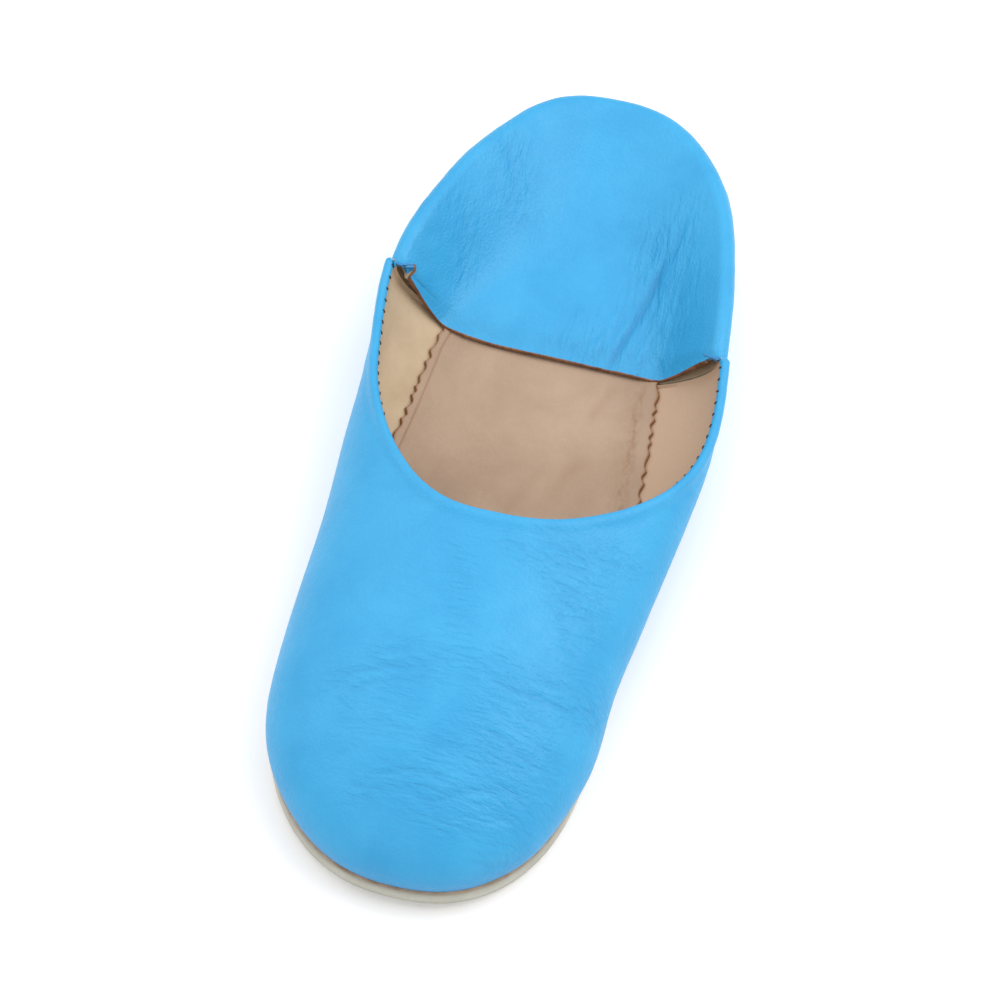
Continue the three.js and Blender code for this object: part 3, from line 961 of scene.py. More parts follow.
@dataclass(frozen=True)
class Vamp:
    """The vamp: a goatskin turned over at the throat, and its lining.

    The strips stand closer beside the junctions. The turned throat swells a little at its edge and
    sinks behind it. clearance lies between the skin and the lining.
    """

    last: Last
    seams: Seams
    skin: float = 0.9
    lining: float = 0.75
    turn_radius: float = 1.3
    turn_steps: int = 10
    turned_margin: int = 2
    clearance: float = 0.05
    lateral_lining_shade: float = 0.85
    lateral_shade_from: float = -6.0
    lateral_shade_run: float = 12.0
    around: int = 138
    up: int = 124
    plan_steps: int = 360
    last_even: float = 0.989
    closer: tuple[float, ...] = (0.9925, 0.9955, 0.9975, 0.999, 1.0)
    crease_calm: float = 6.0
    slow_calm: float = 14.0
    crease_full: float = 0.45
    rim_swell: tuple[float, float, float] = (0.22, 0.9, 1.1)
    rim_sink: tuple[float, float, float] = (0.15, 3.8, 1.5)
    seam_radius: float = 0.9
    creases: tuple[Crease, ...] = (
        Crease(start=(-30.0, 42.5), stop=(0.0, 50.0), width=1.2, depth=0.21, bow=1.6),
        Crease(start=(-26.0, 38.5), stop=(-7.0, 45.5), width=0.96, depth=0.11, bow=1.2),
        Crease(start=(-20.0, 51.5), stop=(4.0, 54.0), width=1.04, depth=0.1, bow=1.0),
        Crease(start=(5.0, 53.0), stop=(41.0, 53.5), width=1.28, depth=0.19, bow=-3.2),
        Crease(start=(12.0, 56.5), stop=(36.0, 57.5), width=0.88, depth=0.1, bow=-2.0),
        Crease(start=(9.0, 40.5), stop=(35.0, 32.5), width=1.28, depth=0.21, bow=-1.0),
        Crease(start=(13.0, 35.5), stop=(30.0, 29.0), width=0.88, depth=0.12, bow=-0.8),
        Crease(start=(12.0, 44.5), stop=(33.0, 38.5), width=0.96, depth=0.11, bow=-0.8),
        Crease(start=(-14.0, 17.5), stop=(13.0, 20.0), width=1.12, depth=0.17, bow=4.0),
        Crease(start=(-18.0, 13.5), stop=(6.0, 15.0), width=0.96, depth=0.1, bow=3.0),
        Crease(start=(0.0, 12.0), stop=(34.0, 26.5), width=1.2, depth=0.17, bow=3.0),
        Crease(start=(8.0, 11.0), stop=(30.0, 18.0), width=0.96, depth=0.11, bow=2.0),
        Crease(start=(20.0, 5.0), stop=(33.0, 13.0), width=0.96, depth=0.13, bow=0.6),
        Crease(start=(6.0, 89.0), stop=(31.0, 88.5), width=0.96, depth=0.12, bow=-1.4),
        Crease(start=(14.0, 93.0), stop=(40.0, 97.0), width=0.88, depth=0.13, bow=-1.6),
        Crease(start=(18.0, 84.5), stop=(39.0, 84.0), width=0.96, depth=0.14, bow=-1.6),
        Crease(start=(26.0, 92.0), stop=(44.0, 99.0), width=0.8, depth=0.12, bow=-1.0),
        Crease(start=(22.0, 79.0), stop=(37.0, 79.0), width=0.88, depth=0.11, bow=-1.0),
        Crease(start=(23.5, 78.0), stop=(29.0, 65.0), width=0.96, depth=0.13, bow=0.8),
        Crease(start=(30.0, 86.0), stop=(36.0, 70.0), width=0.88, depth=0.11, bow=0.8),
        Crease(start=(-5.0, 86.0), stop=(1.0, 60.0), width=0.96, depth=0.09, bow=0.6),
        Crease(start=(-22.0, 30.0), stop=(-4.0, 33.0), width=1.04, depth=0.09, bow=1.5),
        Crease(start=(-2.0, 28.0), stop=(16.0, 30.0), width=1.04, depth=0.1, bow=2.0),
        Crease(start=(34.0, 66.0), stop=(40.0, 50.0), width=1.12, depth=0.11, bow=1.0),
    )
    unevenness: Undulation = Undulation(seed=11, longest=60.0, shortest=22.0, amplitude=0.2)
    fine: Undulation = Undulation(seed=5, longest=9.0, shortest=4.0, amplitude=0.03, waves=14)

    def strips(self) -> Array:
        """The outer face of the even vamp, in strips from the medial junction to the lateral one."""
        share = np.concatenate([np.linspace(0.0, self.last_even, self.around), self.closer])
        share = np.concatenate([-share[:0:-1], share])
        side = side_of(share)
        share = np.abs(share)
        back = self.seams.junction(side) - self.last.gap / 2.0
        foot = self.last.foot_line(side, back * (1.0 - np.cos(share * np.pi / 2.0)))
        start = np.stack([foot.across, foot.station], axis=-1)
        stop = self.seams.throat(self.last, side, share)
        part = 1.0 - np.cos(np.linspace(0.0, np.pi / 2.0, self.plan_steps))
        plan = start[:, None, :] + (stop - start)[:, None, :] * part[None, :, None]
        return evenly(self.last.surface(plan[..., 0], plan[..., 1]), self.up)

    def seam_distance(self, points: Array) -> Array:
        """How far points are in front of their wing's junction."""
        return self.seams.junction(side_of(points[..., 0])) - self.last.gap / 2.0 - points[..., 1]

    def creased(self) -> tuple[Array, Array, Array]:
        """The outer face with its creases, its normals and its crease mask."""
        even = self.strips()
        normals = grid_normals(even)
        from_edge = from_row_end(even)
        crease = sum(line.height(even) for line in self.creases)
        crease = crease * smooth(from_edge / self.crease_calm)
        foot_fade = self.last.foot_fade(even)
        slow = self.unevenness.height(even) * smooth(from_edge / self.slow_calm) * foot_fade
        (swell, *swollen), (sink, *sunk) = self.rim_swell, self.rim_sink
        rim = swell * bump_at(from_edge, *swollen) - sink * bump_at(from_edge, *sunk)
        seam = rolled_seam(self.seam_distance(even), self.seam_radius)
        height = crease + slow + rim + self.fine.height(even) * foot_fade - seam
        return even + normals * height[..., None], normals, np.clip(crease / self.crease_full, -1.0, 1.0)

    def turned(self, outer: Array) -> Array:
        """Adds the turned throat: round the edge and back along the inside."""
        normals = grid_normals(outer)[:, -1]
        edge = outer[:, -1]
        ahead = unit(edge - outer[:, -3])
        ahead = unit(ahead - normals * np.sum(ahead * normals, axis=-1, keepdims=True))
        middle = edge - normals * self.turn_radius
        rows = []
        for angle in np.linspace(0.0, np.pi, self.turn_steps + 1)[1:]:
            rows.append(middle + self.turn_radius * (normals * math.cos(angle) + ahead * math.sin(angle)))
        for back in range(1, self.turned_margin + 1):
            rows.append(outer[:, -1 - back] - normals * 2.0 * self.turn_radius)
        return np.concatenate([outer, np.stack(rows, axis=1)], axis=1)

    def build(self, goatskin: Material, lining: Material) -> None:
        """Makes the vamp's goatskin and its lining."""
        outer, normals, crease = self.creased()
        full = self.turned(outer)
        inner = full - grid_normals(full) * self.skin
        extra = full.shape[1] - outer.shape[1]
        # Painted shade low on the walls near the sole, carried by the edge mask.
        low = low_wall_shade(self.last, outer)
        marks = {"crease": crease, "wrinkle": wrinkled(self.creases, outer), "edge": low}
        marks = {key: np.pad(value, ((0, 0), (0, extra))) for key, value in marks.items()}
        skin = MeshBuilder("vamp_goatskin", self.last)
        skin.shell(full, inner, marks)
        report(skin.build([goatskin]), Slot.GOATSKIN, "vamp")
        pick = np.ix_(every_second(len(outer)), every_second(outer.shape[1]))
        face = (outer - normals * (self.skin + self.clearance))[pick]
        under = face - normals[pick] * self.lining
        inside = MeshBuilder("vamp_lining", self.last)
        # Painted shade on the lining's inner face along the lateral side.
        lateral_shade_mask = smooth((under[..., 0] - self.lateral_shade_from) / self.lateral_shade_run) * self.lateral_lining_shade
        inside.shell(face, under, inner_marks={"edge": lateral_shade_mask})
        report(inside.build([lining]), Slot.NATURAL)


@dataclass(frozen=True)
class HeelQuarter:
    """The heel quarter: it rises from the sole, folds in at the rim and lies down over the insole.

    It is pared by skive over skive_run beside its free edge, and droops there where it lies low.
    The cut edge is thicker by corner_fray at its medial end.
    """

    last: Last
    seams: Seams
    skin: float = 1.0
    lining: float = 0.85
    insole_thickness: float = 1.5
    insole_turn_up: float = 0.6
    wall: float = 2.0
    rim_height_heel: float = 19.0
    rim_height_junction: float = 29.5
    rim_radius_heel: float = 3.8
    rim_radius_junction: float = 2.7
    rim_dip: float = 3.6
    rim_dip_power: float = 12.0
    steepness: float = 1.6
    edge_station: float = 173.2
    fan: float = 0.4
    fan_power: float = 1.5
    edge_power: float = 3.0
    corner_inset: float = 5.6
    dish_heel: float = 60.0
    dish_side: float = 30.0
    path_bend: float = 0.4
    skive: float = 0.75
    skive_run: float = 7.0
    corner_fray: float = 0.9
    corner_run: float = 6.0
    droop: float = 0.6
    droop_run: float = 14.0
    droop_from: float = 11.7
    droop_rise: float = 2.0
    flap_from: float = 0.3
    flap_run: float = 0.4
    clearance: float = 0.05
    band_overlap: float = 0.1
    band_out: float = 0.4
    band_rough: float = 0.12
    band_waves: tuple[float, float] = (1.7, 0.53)
    band_sink: float = 0.03
    lining_inset: int = 3
    around: int = 100
    wall_steps: int = 22
    flap_steps: int = 112
    fold_steps: int = 30
    fall_steps: int = 60
    path_steps: int = 240
    band_sides: int = 12
    last_even: float = 0.99
    closer: tuple[float, ...] = (0.993, 0.9955, 0.9975, 0.999, 1.0)
    crease_full: float = 0.6
    seam_radius: float = 0.9
    creases: tuple[Crease, ...] = (
        Crease(start=(16.5, 168.0), stop=(27.0, 214.0), width=2.04, depth=0.62, bow=-1.0),
        Crease(start=(21.5, 169.0), stop=(28.0, 206.0), width=1.44, depth=0.38, bow=-1.2),
        Crease(start=(12.0, 170.0), stop=(20.0, 197.0), width=1.27, depth=0.32, bow=-0.8),
        Crease(start=(26.5, 170.0), stop=(30.5, 200.0), width=1.19, depth=0.2, bow=-0.6),
        Crease(start=(31.5, 172.0), stop=(33.5, 204.0), width=1.27, depth=0.16, bow=-0.6),
        Crease(start=(7.0, 176.0), stop=(17.0, 190.0), width=1.1, depth=0.16, bow=-0.8),
        Crease(start=(19.0, 186.0), stop=(23.0, 222.0), width=1.36, depth=0.18, bow=-0.5),
        Crease(start=(25.0, 196.0), stop=(30.0, 228.0), width=1.53, depth=0.17, bow=-0.5),
        Crease(start=(-29.0, 238.0), stop=(-17.0, 212.0), width=1.53, depth=0.18, bow=0.8),
        Crease(start=(-24.0, 236.0), stop=(-14.0, 216.0), width=1.1, depth=0.12, bow=0.6),
        Crease(start=(-33.0, 210.0), stop=(-28.0, 188.0), width=1.36, depth=0.1, bow=0.6),
        Crease(start=(0.0, 172.0), stop=(5.0, 192.0), width=1.27, depth=0.1, bow=-0.4),
    )
    unevenness: Undulation = Undulation(seed=23, longest=55.0, shortest=24.0, amplitude=0.22)
    fine: Undulation = Undulation(seed=8, longest=9.0, shortest=4.0, amplitude=0.03, waves=14)

    def profile(self, lean: float, radius: float, top: float, dish: float) -> Array:
        """The fold and the flap in section.

        Args:
            lean: Lean of the wall at its top, in radians.
            radius: Outer radius of the fold.
            top: Height of the wall's top.
            dish: How far in the flap reaches the insole.

        Returns:
            Points as distance in from the wall's top and height.
        """
        floor = self.last.sole_thickness + self.insole_thickness + self.insole_turn_up
        floor += 2.0 * self.last.gap + self.wall
        fall_rate = self.steepness * (top + radius - floor) / dish
        angle = np.linspace(-lean, np.pi / 2.0 + math.atan(fall_rate), self.fold_steps)
        inwards = radius * (math.cos(lean) - np.cos(angle))
        height = top + radius * (math.sin(lean) + np.sin(angle))
        t = np.linspace(0.0, 1.0, self.fall_steps)[1:]
        start = t * (1.0 - t) ** 2 * -fall_rate * (dish - inwards[-1])
        down = (height[-1] - floor) * (1.0 - t * t * (3.0 - 2.0 * t))
        inwards = np.concatenate([inwards, mix(inwards[-1], dish, t), [self.last.length]])
        return np.stack([inwards, np.concatenate([height, floor + down + start, [floor]])], axis=-1)

    def edge(self, side: float, share: float) -> Array:
        """The free edge in plan, from its middle at 0 to a junction at 1."""
        end = float(self.seams.junction(side)) + self.last.gap / 2.0
        foot = self.last.foot_line(side, end)
        rim = self.rim_height_junction - self.rim_dip - self.rim_radius_junction
        rise = (rim - float(self.last.bed(end))) / float(self.last.arch(end))
        corner = float(self.last.wall(foot, rise)[0]) - side * self.corner_inset
        part = share * mix(self.fan, 1.0, share**self.fan_power)
        across = mix(float(self.last.section("centre", end)), corner, part)
        return np.array([across, mix(self.edge_station, end, part**self.edge_power)])

    def strip(self, side: float, share: float) -> Array:
        """One strip, up the wall from the sole, over the fold and on to the free edge."""
        last = self.last
        start = float(self.seams.junction(side)) + last.gap / 2.0
        station = last.length - (last.length - start) * (1.0 - math.cos(share * np.pi / 2.0))
        foot = last.foot_line(side, station)
        rim_share = float(smooth(share))
        radius = mix(self.rim_radius_heel, self.rim_radius_junction, rim_share)
        rim = mix(self.rim_height_heel, self.rim_height_junction, rim_share)
        rim -= self.rim_dip * share**self.rim_dip_power
        top_rise = (rim - radius - float(last.bed(station))) / float(last.arch(station))
        wall = last.wall(foot, top_rise * np.linspace(0.0, 1.0, self.wall_steps + 1)[:-1])
        top = last.wall(foot, top_rise)
        below = last.wall(foot, top_rise * 0.98)
        lean = math.atan2(float(np.linalg.norm((top - below)[:2])), float((top - below)[2]))
        goal = self.edge(side, share)
        bend = top[:2] - foot.out * self.path_bend * np.linalg.norm(top[:2] - goal)
        t = np.linspace(0.0, 1.0, self.path_steps)[:, None]
        path = (1.0 - t) ** 2 * top[:2] + 2.0 * t * (1.0 - t) * bend + t**2 * goal
        walked = walked_along(path)
        section = self.profile(lean, radius, float(top[2]), mix(self.dish_heel, self.dish_side, rim_share))
        stop = int(np.argmax(section[:, 0] >= walked[-1]))
        part = (walked[-1] - section[stop - 1, 0]) / (section[stop, 0] - section[stop - 1, 0])
        section = np.vstack([section[:stop], mix(section[stop - 1], section[stop], part)])
        run = walked_along(section)
        inwards, height = at_goals(np.linspace(0.0, run[-1], self.flap_steps + 1), run, section).T
        plan = at_goals(np.clip(inwards, 0.0, walked[-1]), walked, path)
        plan += foot.out * np.maximum(0.0, -inwards)[:, None]
        return np.vstack([wall, np.column_stack([plan, height])])

    def strips(self) -> Array:
        """The outer face, a row for each strip from the lateral junction to the medial one."""
        share = np.concatenate([np.linspace(0.0, self.last_even, self.around), self.closer])
        signed = np.concatenate([share[::-1], -share[1:]])
        return np.stack([self.strip(-1.0 if s < 0.0 else 1.0, abs(float(s))) for s in signed])

    def on_flap(self, normals: Array) -> Array:
        """A share that is 0 on the wall and 1 where the leather lies flat."""
        return smooth((normals[..., 2] - self.flap_from) / self.flap_run)

    def pared(self, even: Array) -> Array:
        """How much thinner the leather is pared toward the free edge."""
        return self.skive * smooth(1.0 - from_row_end(even) / self.skive_run)

    def creased(self) -> tuple[Array, Array, Array]:
        """The outer face with its creases, its normals and its crease mask."""
        even = self.strips()
        normals = grid_normals(even)
        on_flap = self.on_flap(normals)
        crease = sum(line.height(even) for line in self.creases) * on_flap
        foot_fade = self.last.foot_fade(even)
        behind = even[..., 1] - self.seams.junction(side_of(even[..., 0])) - self.last.gap / 2.0
        seam = rolled_seam(np.abs(behind), self.seam_radius) * (1.0 - on_flap)
        slow = np.abs(self.unevenness.height(even)) * foot_fade
        height = crease + slow + self.fine.height(even) * foot_fade - seam - self.pared(even)
        moved = even + normals * height[..., None]
        low = smooth((self.droop_from - even[..., 2]) / self.droop_rise)
        moved[..., 2] -= self.droop * low * smooth(1.0 - from_row_end(even) / self.droop_run)
        return moved, normals, np.clip(crease / self.crease_full, -1.0, 1.0)

    def build(self, goatskin: Material, lining: Material, cut: Material) -> None:
        """Makes the quarter's goatskin, its lining and its cut edge."""
        outer, normals, crease = self.creased()
        on_flap = self.on_flap(normals)
        # Painted shade low on the wall near the sole, carried by the edge mask.
        low = low_wall_shade(self.last, outer) * (1.0 - on_flap)
        marks = {"crease": crease, "wrinkle": wrinkled(self.creases, outer) * on_flap, "edge": low}
        pared = self.pared(self.strips())[..., None]
        under = outer - normals * (self.skin - 0.5 * pared)
        skin = MeshBuilder("quarter_goatskin", self.last)
        skin.shell(outer, under, marks)
        report(skin.build([goatskin]), Slot.GOATSKIN, "heel_quarter")
        pick = (slice(self.lining_inset, -self.lining_inset), every_second(outer.shape[1]))
        face = (under - normals * self.clearance)[pick]
        inside = MeshBuilder("quarter_lining", self.last)
        inside.shell(face, face - (normals * (self.lining - 0.5 * pared))[pick])
        report(inside.build([lining]), Slot.NATURAL)
        self.build_cut_edge(outer, normals, cut)

    def build_cut_edge(self, outer: Array, normals: Array, cut: Material) -> None:
        """Makes the rough brown edge that closes the skin and lining along the free edge."""
        edge = outer[:, -1]
        normal = normals[:, -1]
        ahead = unit(edge - outer[:, -3])
        walked = np.cumsum(np.linalg.norm(np.diff(edge, axis=0, prepend=edge[:1]), axis=1))
        thick = self.skin + self.lining + self.band_overlap - self.skive
        thick = (thick + self.corner_fray * np.exp(-((walked / self.corner_run) ** 2)))[:, None]
        middle = edge - normal * (thick / 2.0 + self.band_sink) - ahead * self.band_overlap
        first, second = (np.sin(np.arange(len(edge)) * wave) for wave in self.band_waves)
        rough = 1.0 + self.band_rough * first * second
        rows = []
        for angle in np.linspace(0.0, 2.0 * np.pi, self.band_sides + 1)[:-1]:
            up = normal * math.cos(angle) * (thick / 2.0 + self.clearance)
            out = ahead * math.sin(angle) * self.band_out * rough[:, None]
            rows.append(middle + up + out)
        band = MeshBuilder("quarter_cut_edge", self.last)
        band.sweep(np.stack(rows, axis=1))
        report(band.build([cut]), Slot.NATURAL)


# ---- The bottom ----


@dataclass(frozen=True)
class Plate:
    """A flat piece of the bottom, ringed from its edge to a spine along its middle."""

    last: Last
    around: int = 1100
    spine_toe: float = 46.0
    spine_heel: float = 30.0

    def foot(self) -> FootLine:
        """Places round the outline: toe, lateral, heel, medial."""
        turn = np.arange(self.around) * 2.0 * np.pi / self.around
        side = np.where(turn <= np.pi, 1.0, -1.0)
        return self.last.foot_line(side, self.last.length * (1.0 - np.cos(turn)) / 2.0)

    def moved(self, foot: FootLine, distance: Array | float) -> Array:
        """The outline moved out in plan by a distance."""
        plan = np.stack([foot.across, foot.station], axis=-1)
        return plan + foot.out * np.broadcast_to(distance, foot.station.shape)[..., None]

    def spine(self, foot: FootLine) -> Array:
        """The place on the spine that each place of the outline closes to."""
        station = np.clip(foot.station, self.spine_toe, self.last.length - self.spine_heel)
        return np.stack([self.last.section("centre", station), station], axis=-1)


@dataclass(frozen=True)
class Outsole(Plate):
    """The outsole with its rounded edges, and the margin of the turned upper above it."""

    rim_toe: float = 1.3
    rim_waist: float = 0.2
    rim_fade: float = 95.0
    edge_round: float = 0.7
    round_steps: int = 4
    flat_steps: int = 12
    low_round_shade: float = 0.5
    high_round_shade: float = 0.25
    wall_shares: tuple[float, ...] = (0.3, 0.5, 0.7)
    wobble: float = 0.05
    wobble_wave: float = 0.13
    wobble_shift: float = 9.0
    margin_height: float = 0.9
    margin_depth: float = 0.9
    margin_rise: float = 0.35
    margin_reach: float = 0.55
    margin_reach_toe: float = 0.3
    margin_sides: int = 10

    def rim(self, station: Array) -> Array:
        """How far the outsole shows past the upper's foot."""
        return mix(self.rim_waist, self.rim_toe, smooth(1.0 - station / self.rim_fade))

    def flat_rings(self, foot: FootLine, height: float, parts: Array) -> list[Array]:
        """Level rings at a height over the underside.

        Args:
            foot: Places round the outline.
            height: The height.
            parts: How far out each ring lies, from 0 on the spine to 1 at the rounded edge.

        Returns:
            The rings.
        """
        spine = self.spine(foot)
        rim_plan = self.moved(foot, self.rim(foot.station) - self.edge_round)
        plans = [mix(spine, rim_plan, part) for part in parts]
        return [np.column_stack([plan, self.last.underside(plan[:, 1]) + height]) for plan in plans]

    def build(self, sole: Material, margin: Material) -> None:
        """Makes the outsole and the thin margin line."""
        foot = self.foot()
        rim = self.rim(foot.station)
        under = self.last.underside(foot.station)
        top = self.last.sole_thickness
        rings = self.flat_rings(foot, 0.0, np.linspace(0.0, 1.0, self.flat_steps))
        # Painted shade on the rounded edges: by the floor, and under the upper above them.
        round_shades = [0.0] * len(rings)
        for angle in np.linspace(-np.pi / 2.0, 0.0, self.round_steps + 1)[1:]:
            out = rim - self.edge_round * (1.0 - math.cos(angle))
            level = under + self.edge_round * (1.0 + math.sin(angle))
            rings.append(np.column_stack([self.moved(foot, out), level]))
            round_shades.append(self.low_round_shade)
        for share in self.wall_shares:
            level = under + mix(self.edge_round, top - self.edge_round, share)
            phase = np.arange(self.around) * self.wobble_wave + share * self.wobble_shift
            wobble = self.wobble * np.sin(phase)
            rings.append(np.column_stack([self.moved(foot, rim + wobble), level]))
            round_shades.append(0.0)
        for angle in np.linspace(0.0, np.pi / 2.0, self.round_steps + 1):
            out = rim - self.edge_round * (1.0 - math.cos(angle))
            level = under + top - self.edge_round * (1.0 - math.sin(angle))
            rings.append(np.column_stack([self.moved(foot, out), level]))
            round_shades.append(self.high_round_shade)
        rings += self.flat_rings(foot, top, np.linspace(1.0, 0.0, self.flat_steps)[1:])
        round_shades += [0.0] * (len(rings) - len(round_shades))
        body = MeshBuilder("outsole_leather", self.last)
        body.rings(np.stack(rings), {"edge": np.array(round_shades)[:, None]})
        report(body.build([sole]), Slot.SOLE, "outsole")
        self.build_margin(foot, margin)

    def build_margin(self, foot: FootLine, margin: Material) -> None:
        """Makes the thin line of turned leather between the upper and the outsole."""
        middle = self.last.bed(foot.station) - self.last.gap + self.margin_rise
        toe = smooth(1.0 - foot.station / self.rim_fade)
        reach = self.margin_reach + self.margin_reach_toe * toe
        rings = []
        for angle in np.linspace(0.0, 2.0 * np.pi, self.margin_sides + 1)[:-1]:
            out = math.cos(angle) * self.margin_depth - self.margin_depth + reach
            level = middle + math.sin(angle) * self.margin_height / 2.0
            rings.append(np.column_stack([self.moved(foot, out), level]))
        line = MeshBuilder("turned_margin", self.last)
        line.rings(np.stack(rings), tube=True)
        report(line.build([margin]), Slot.NATURAL)


@dataclass(frozen=True)
class Insole(Plate):
    """The insole, whose pinked edge climbs the lining a little.

    Its rings lie at insets from the edge, closest over the pinking and the scored line. The scored
    line runs along the medial side with painted shade in it, and a band of fine wrinkles, with painted
    shade in their lines, along the back of the lateral one. The pinked edge's brown is its burnished
    raw edge with painted shadow along it.
    """

    thickness: float = 1.5
    edge_thickness: float = 0.9
    climb: float = 0.75
    lining_depth: float = 1.85
    flat_from: float = 8.0
    corner: float = 0.45
    lift: float = 0.35
    climb_end: float = 168.0
    climb_run: float = 10.0
    low_clearance: float = 0.1
    pink_length: float = 4.4
    pink_depth: float = 0.95
    pink_fade: float = 1.65
    pink_shade_and_burnish: float = 0.85
    pink_shade_and_burnish_width: float = 0.4
    score_inset: float = 2.4
    score_from: float = 60.0
    score_depth: float = 0.28
    score_width: float = 0.28
    score_shade: float = 0.5
    score_shade_width: float = 0.2
    wrinkle_band_inset: float = 5.2
    wrinkle_band_width: float = 1.9
    wrinkle_band_from: float = 118.0
    wrinkle_band_run: float = 14.0
    crease_full: float = 0.8
    calm: float = 0.7
    around: int = 1500
    flat_steps: int = 16
    low_steps: int = 6
    insets: tuple[float, ...] = (
        0.0, 0.3, 0.7, 1.2, 1.7, 2.0, 2.2, 2.4,
        2.6, 2.8, 3.2, 3.8, 4.5, 5.3, 6.2, 7.2,
    )
    creases: tuple[Crease, ...] = (
        Crease(start=(31.0, 126.0), stop=(28.0, 148.0), width=1.5, depth=0.22, bow=0.8),
        Crease(start=(28.5, 142.0), stop=(25.5, 172.0), width=1.8, depth=0.22, bow=1.0),
        Crease(start=(16.0, 152.0), stop=(24.0, 172.0), width=2.4, depth=0.3, bow=1.0),
        Crease(start=(8.0, 116.0), stop=(21.0, 146.0), width=3.0, depth=0.32, bow=1.6),
        Crease(start=(-2.0, 112.0), stop=(13.0, 142.0), width=3.2, depth=0.26, bow=1.6),
    )
    unevenness: Undulation = Undulation(seed=31, longest=50.0, shortest=18.0, amplitude=0.12)

    def pinking(self, foot: FootLine) -> Array:
        """The zigzag of the edge, from 0 at its points to -1 at its notches."""
        across = np.diff(foot.across, append=foot.across[0])
        walked = np.cumsum(np.hypot(across, np.diff(foot.station, append=foot.station[0])))
        teeth = round(walked[-1] / self.pink_length)
        phase = walked / walked[-1] * teeth + 0.2 * np.sin(walked * 0.21) + 0.12 * np.sin(walked * 0.57 + 1.0)
        depth = 0.8 + 0.2 * np.sin(walked * 0.31 + 2.0)
        return -depth * (0.5 + 0.5 * np.cos(2.0 * np.pi * phase)) ** 0.8

    def edge_points(self, foot: FootLine) -> tuple[Array, Array]:
        """The edge on the lining, and the way out of the wall there."""
        behind = smooth((foot.station - self.climb_end) / self.climb_run)
        climb = self.climb * (1.0 - behind) + self.lift
        rise = climb / self.last.arch(foot.station)
        at = self.last.wall(foot, rise)
        above = self.last.wall(foot, rise * 1.05)
        step = above - at
        outward = np.sum(step[:, :2] * foot.out, axis=-1)
        way = unit(np.column_stack([foot.out * step[:, 2:3], -outward]))
        return at, way

    def climbing(self, edge: Array, flat: Array, share: Array | float) -> Array:
        """Places on the bend between the edge and the flat.

        Args:
            edge: The edge on the lining.
            flat: Where the flat starts.
            share: 0 at the edge to 1 on the flat.

        Returns:
            The places.
        """
        corner = mix(flat, edge, self.corner)
        corner[:, 2] = flat[:, 2]
        return (1.0 - share) ** 2 * edge + 2.0 * share * (1.0 - share) * corner + share**2 * flat

    def flat_rings(self, foot: FootLine, height: float, parts: Array) -> list[Array]:
        """Level rings at a height over the bed, from 0 on the spine to 1 where the flat ends."""
        spine = self.spine(foot)
        flat_plan = self.moved(foot, -self.flat_from)
        plans = [mix(spine, flat_plan, part) for part in parts]
        return [np.column_stack([plan, self.last.bed(plan[:, 1]) + height]) for plan in plans]

    def build(self, tan: Material) -> None:
        """Makes the insole."""
        foot = self.foot()
        at, way = self.edge_points(foot)
        top_edge = at - way * (self.lining_depth + self.edge_thickness)
        low_edge = at - way * (self.lining_depth + self.low_clearance)
        (flat_top,) = self.flat_rings(foot, self.thickness, (1.0,))
        (flat_low,) = self.flat_rings(foot, 0.0, (1.0,))
        pink = self.pinking(foot)[:, None] * self.pink_depth
        reach = np.linalg.norm(flat_top - top_edge, axis=-1, keepdims=True)
        medial = (foot.across < 0.0) & (foot.station > self.score_from)
        lateral = (foot.across > 0.0) * smooth((foot.station - self.wrinkle_band_from) / self.wrinkle_band_run)
        tops = []
        edges = []
        wrinkle_band = []
        for inset in self.insets:
            tooth = pink * max(0.0, 1.0 - inset / self.pink_fade)
            ring = self.climbing(top_edge, flat_top, np.clip((inset - tooth) / reach, 0.0, 1.0))
            ring[:, 2] -= self.score_depth * bump_at(inset, self.score_inset, self.score_width) * medial
            tops.append(ring)
            # The pinked edge's brown is its burnished raw edge, with painted shadow along it.
            brown = self.pink_shade_and_burnish * bump_at(inset, 0.0, self.pink_shade_and_burnish_width)
            # Painted shade along the scored line.
            scored = self.score_shade * bump_at(inset, self.score_inset, self.score_shade_width)
            edges.append(brown + scored * medial)
            # A band of fine wrinkles along the lateral back, whose lines get painted shade.
            wrinkle_band.append(lateral * bump_at(inset, self.wrinkle_band_inset, self.wrinkle_band_width))
        tops += self.flat_rings(foot, self.thickness, np.linspace(1.0, 0.0, self.flat_steps)[1:])
        lows = self.flat_rings(foot, 0.0, np.linspace(0.0, 1.0, self.low_steps))
        low_share = np.clip(-pink / reach, 0.0, 1.0)
        lows.append(self.climbing(low_edge, flat_low, 0.5 + low_share * 0.5))
        lows.append(self.climbing(low_edge, flat_low, low_share))
        top = np.stack(tops)
        crease = sum(line.height(top) for line in self.creases)
        top[..., 2] += crease + self.unevenness.height(top) * self.calm
        below = ((len(lows), 0), (0, 0))
        inner = ((len(lows), self.flat_steps - 1), (0, 0))
        edge_mask = np.pad(np.stack(edges), inner)
        # The insole's cut edge takes the full edge colour: its burnished raw edge, with painted shadow.
        edge_mask[len(lows) - 1] = 1.0
        marks = {
            "crease": np.pad(np.clip(crease / self.crease_full, -1.0, 1.0), below),
            "edge": edge_mask,
            "wrinkle": np.pad(np.stack(wrinkle_band), inner),
        }
        body = MeshBuilder("insole_leather", self.last)
        body.rings(np.concatenate([np.stack(lows), top]), marks)
        report(body.build([tan], sharp=60.0), Slot.NATURAL, "insole")


# ---- Stitches ----


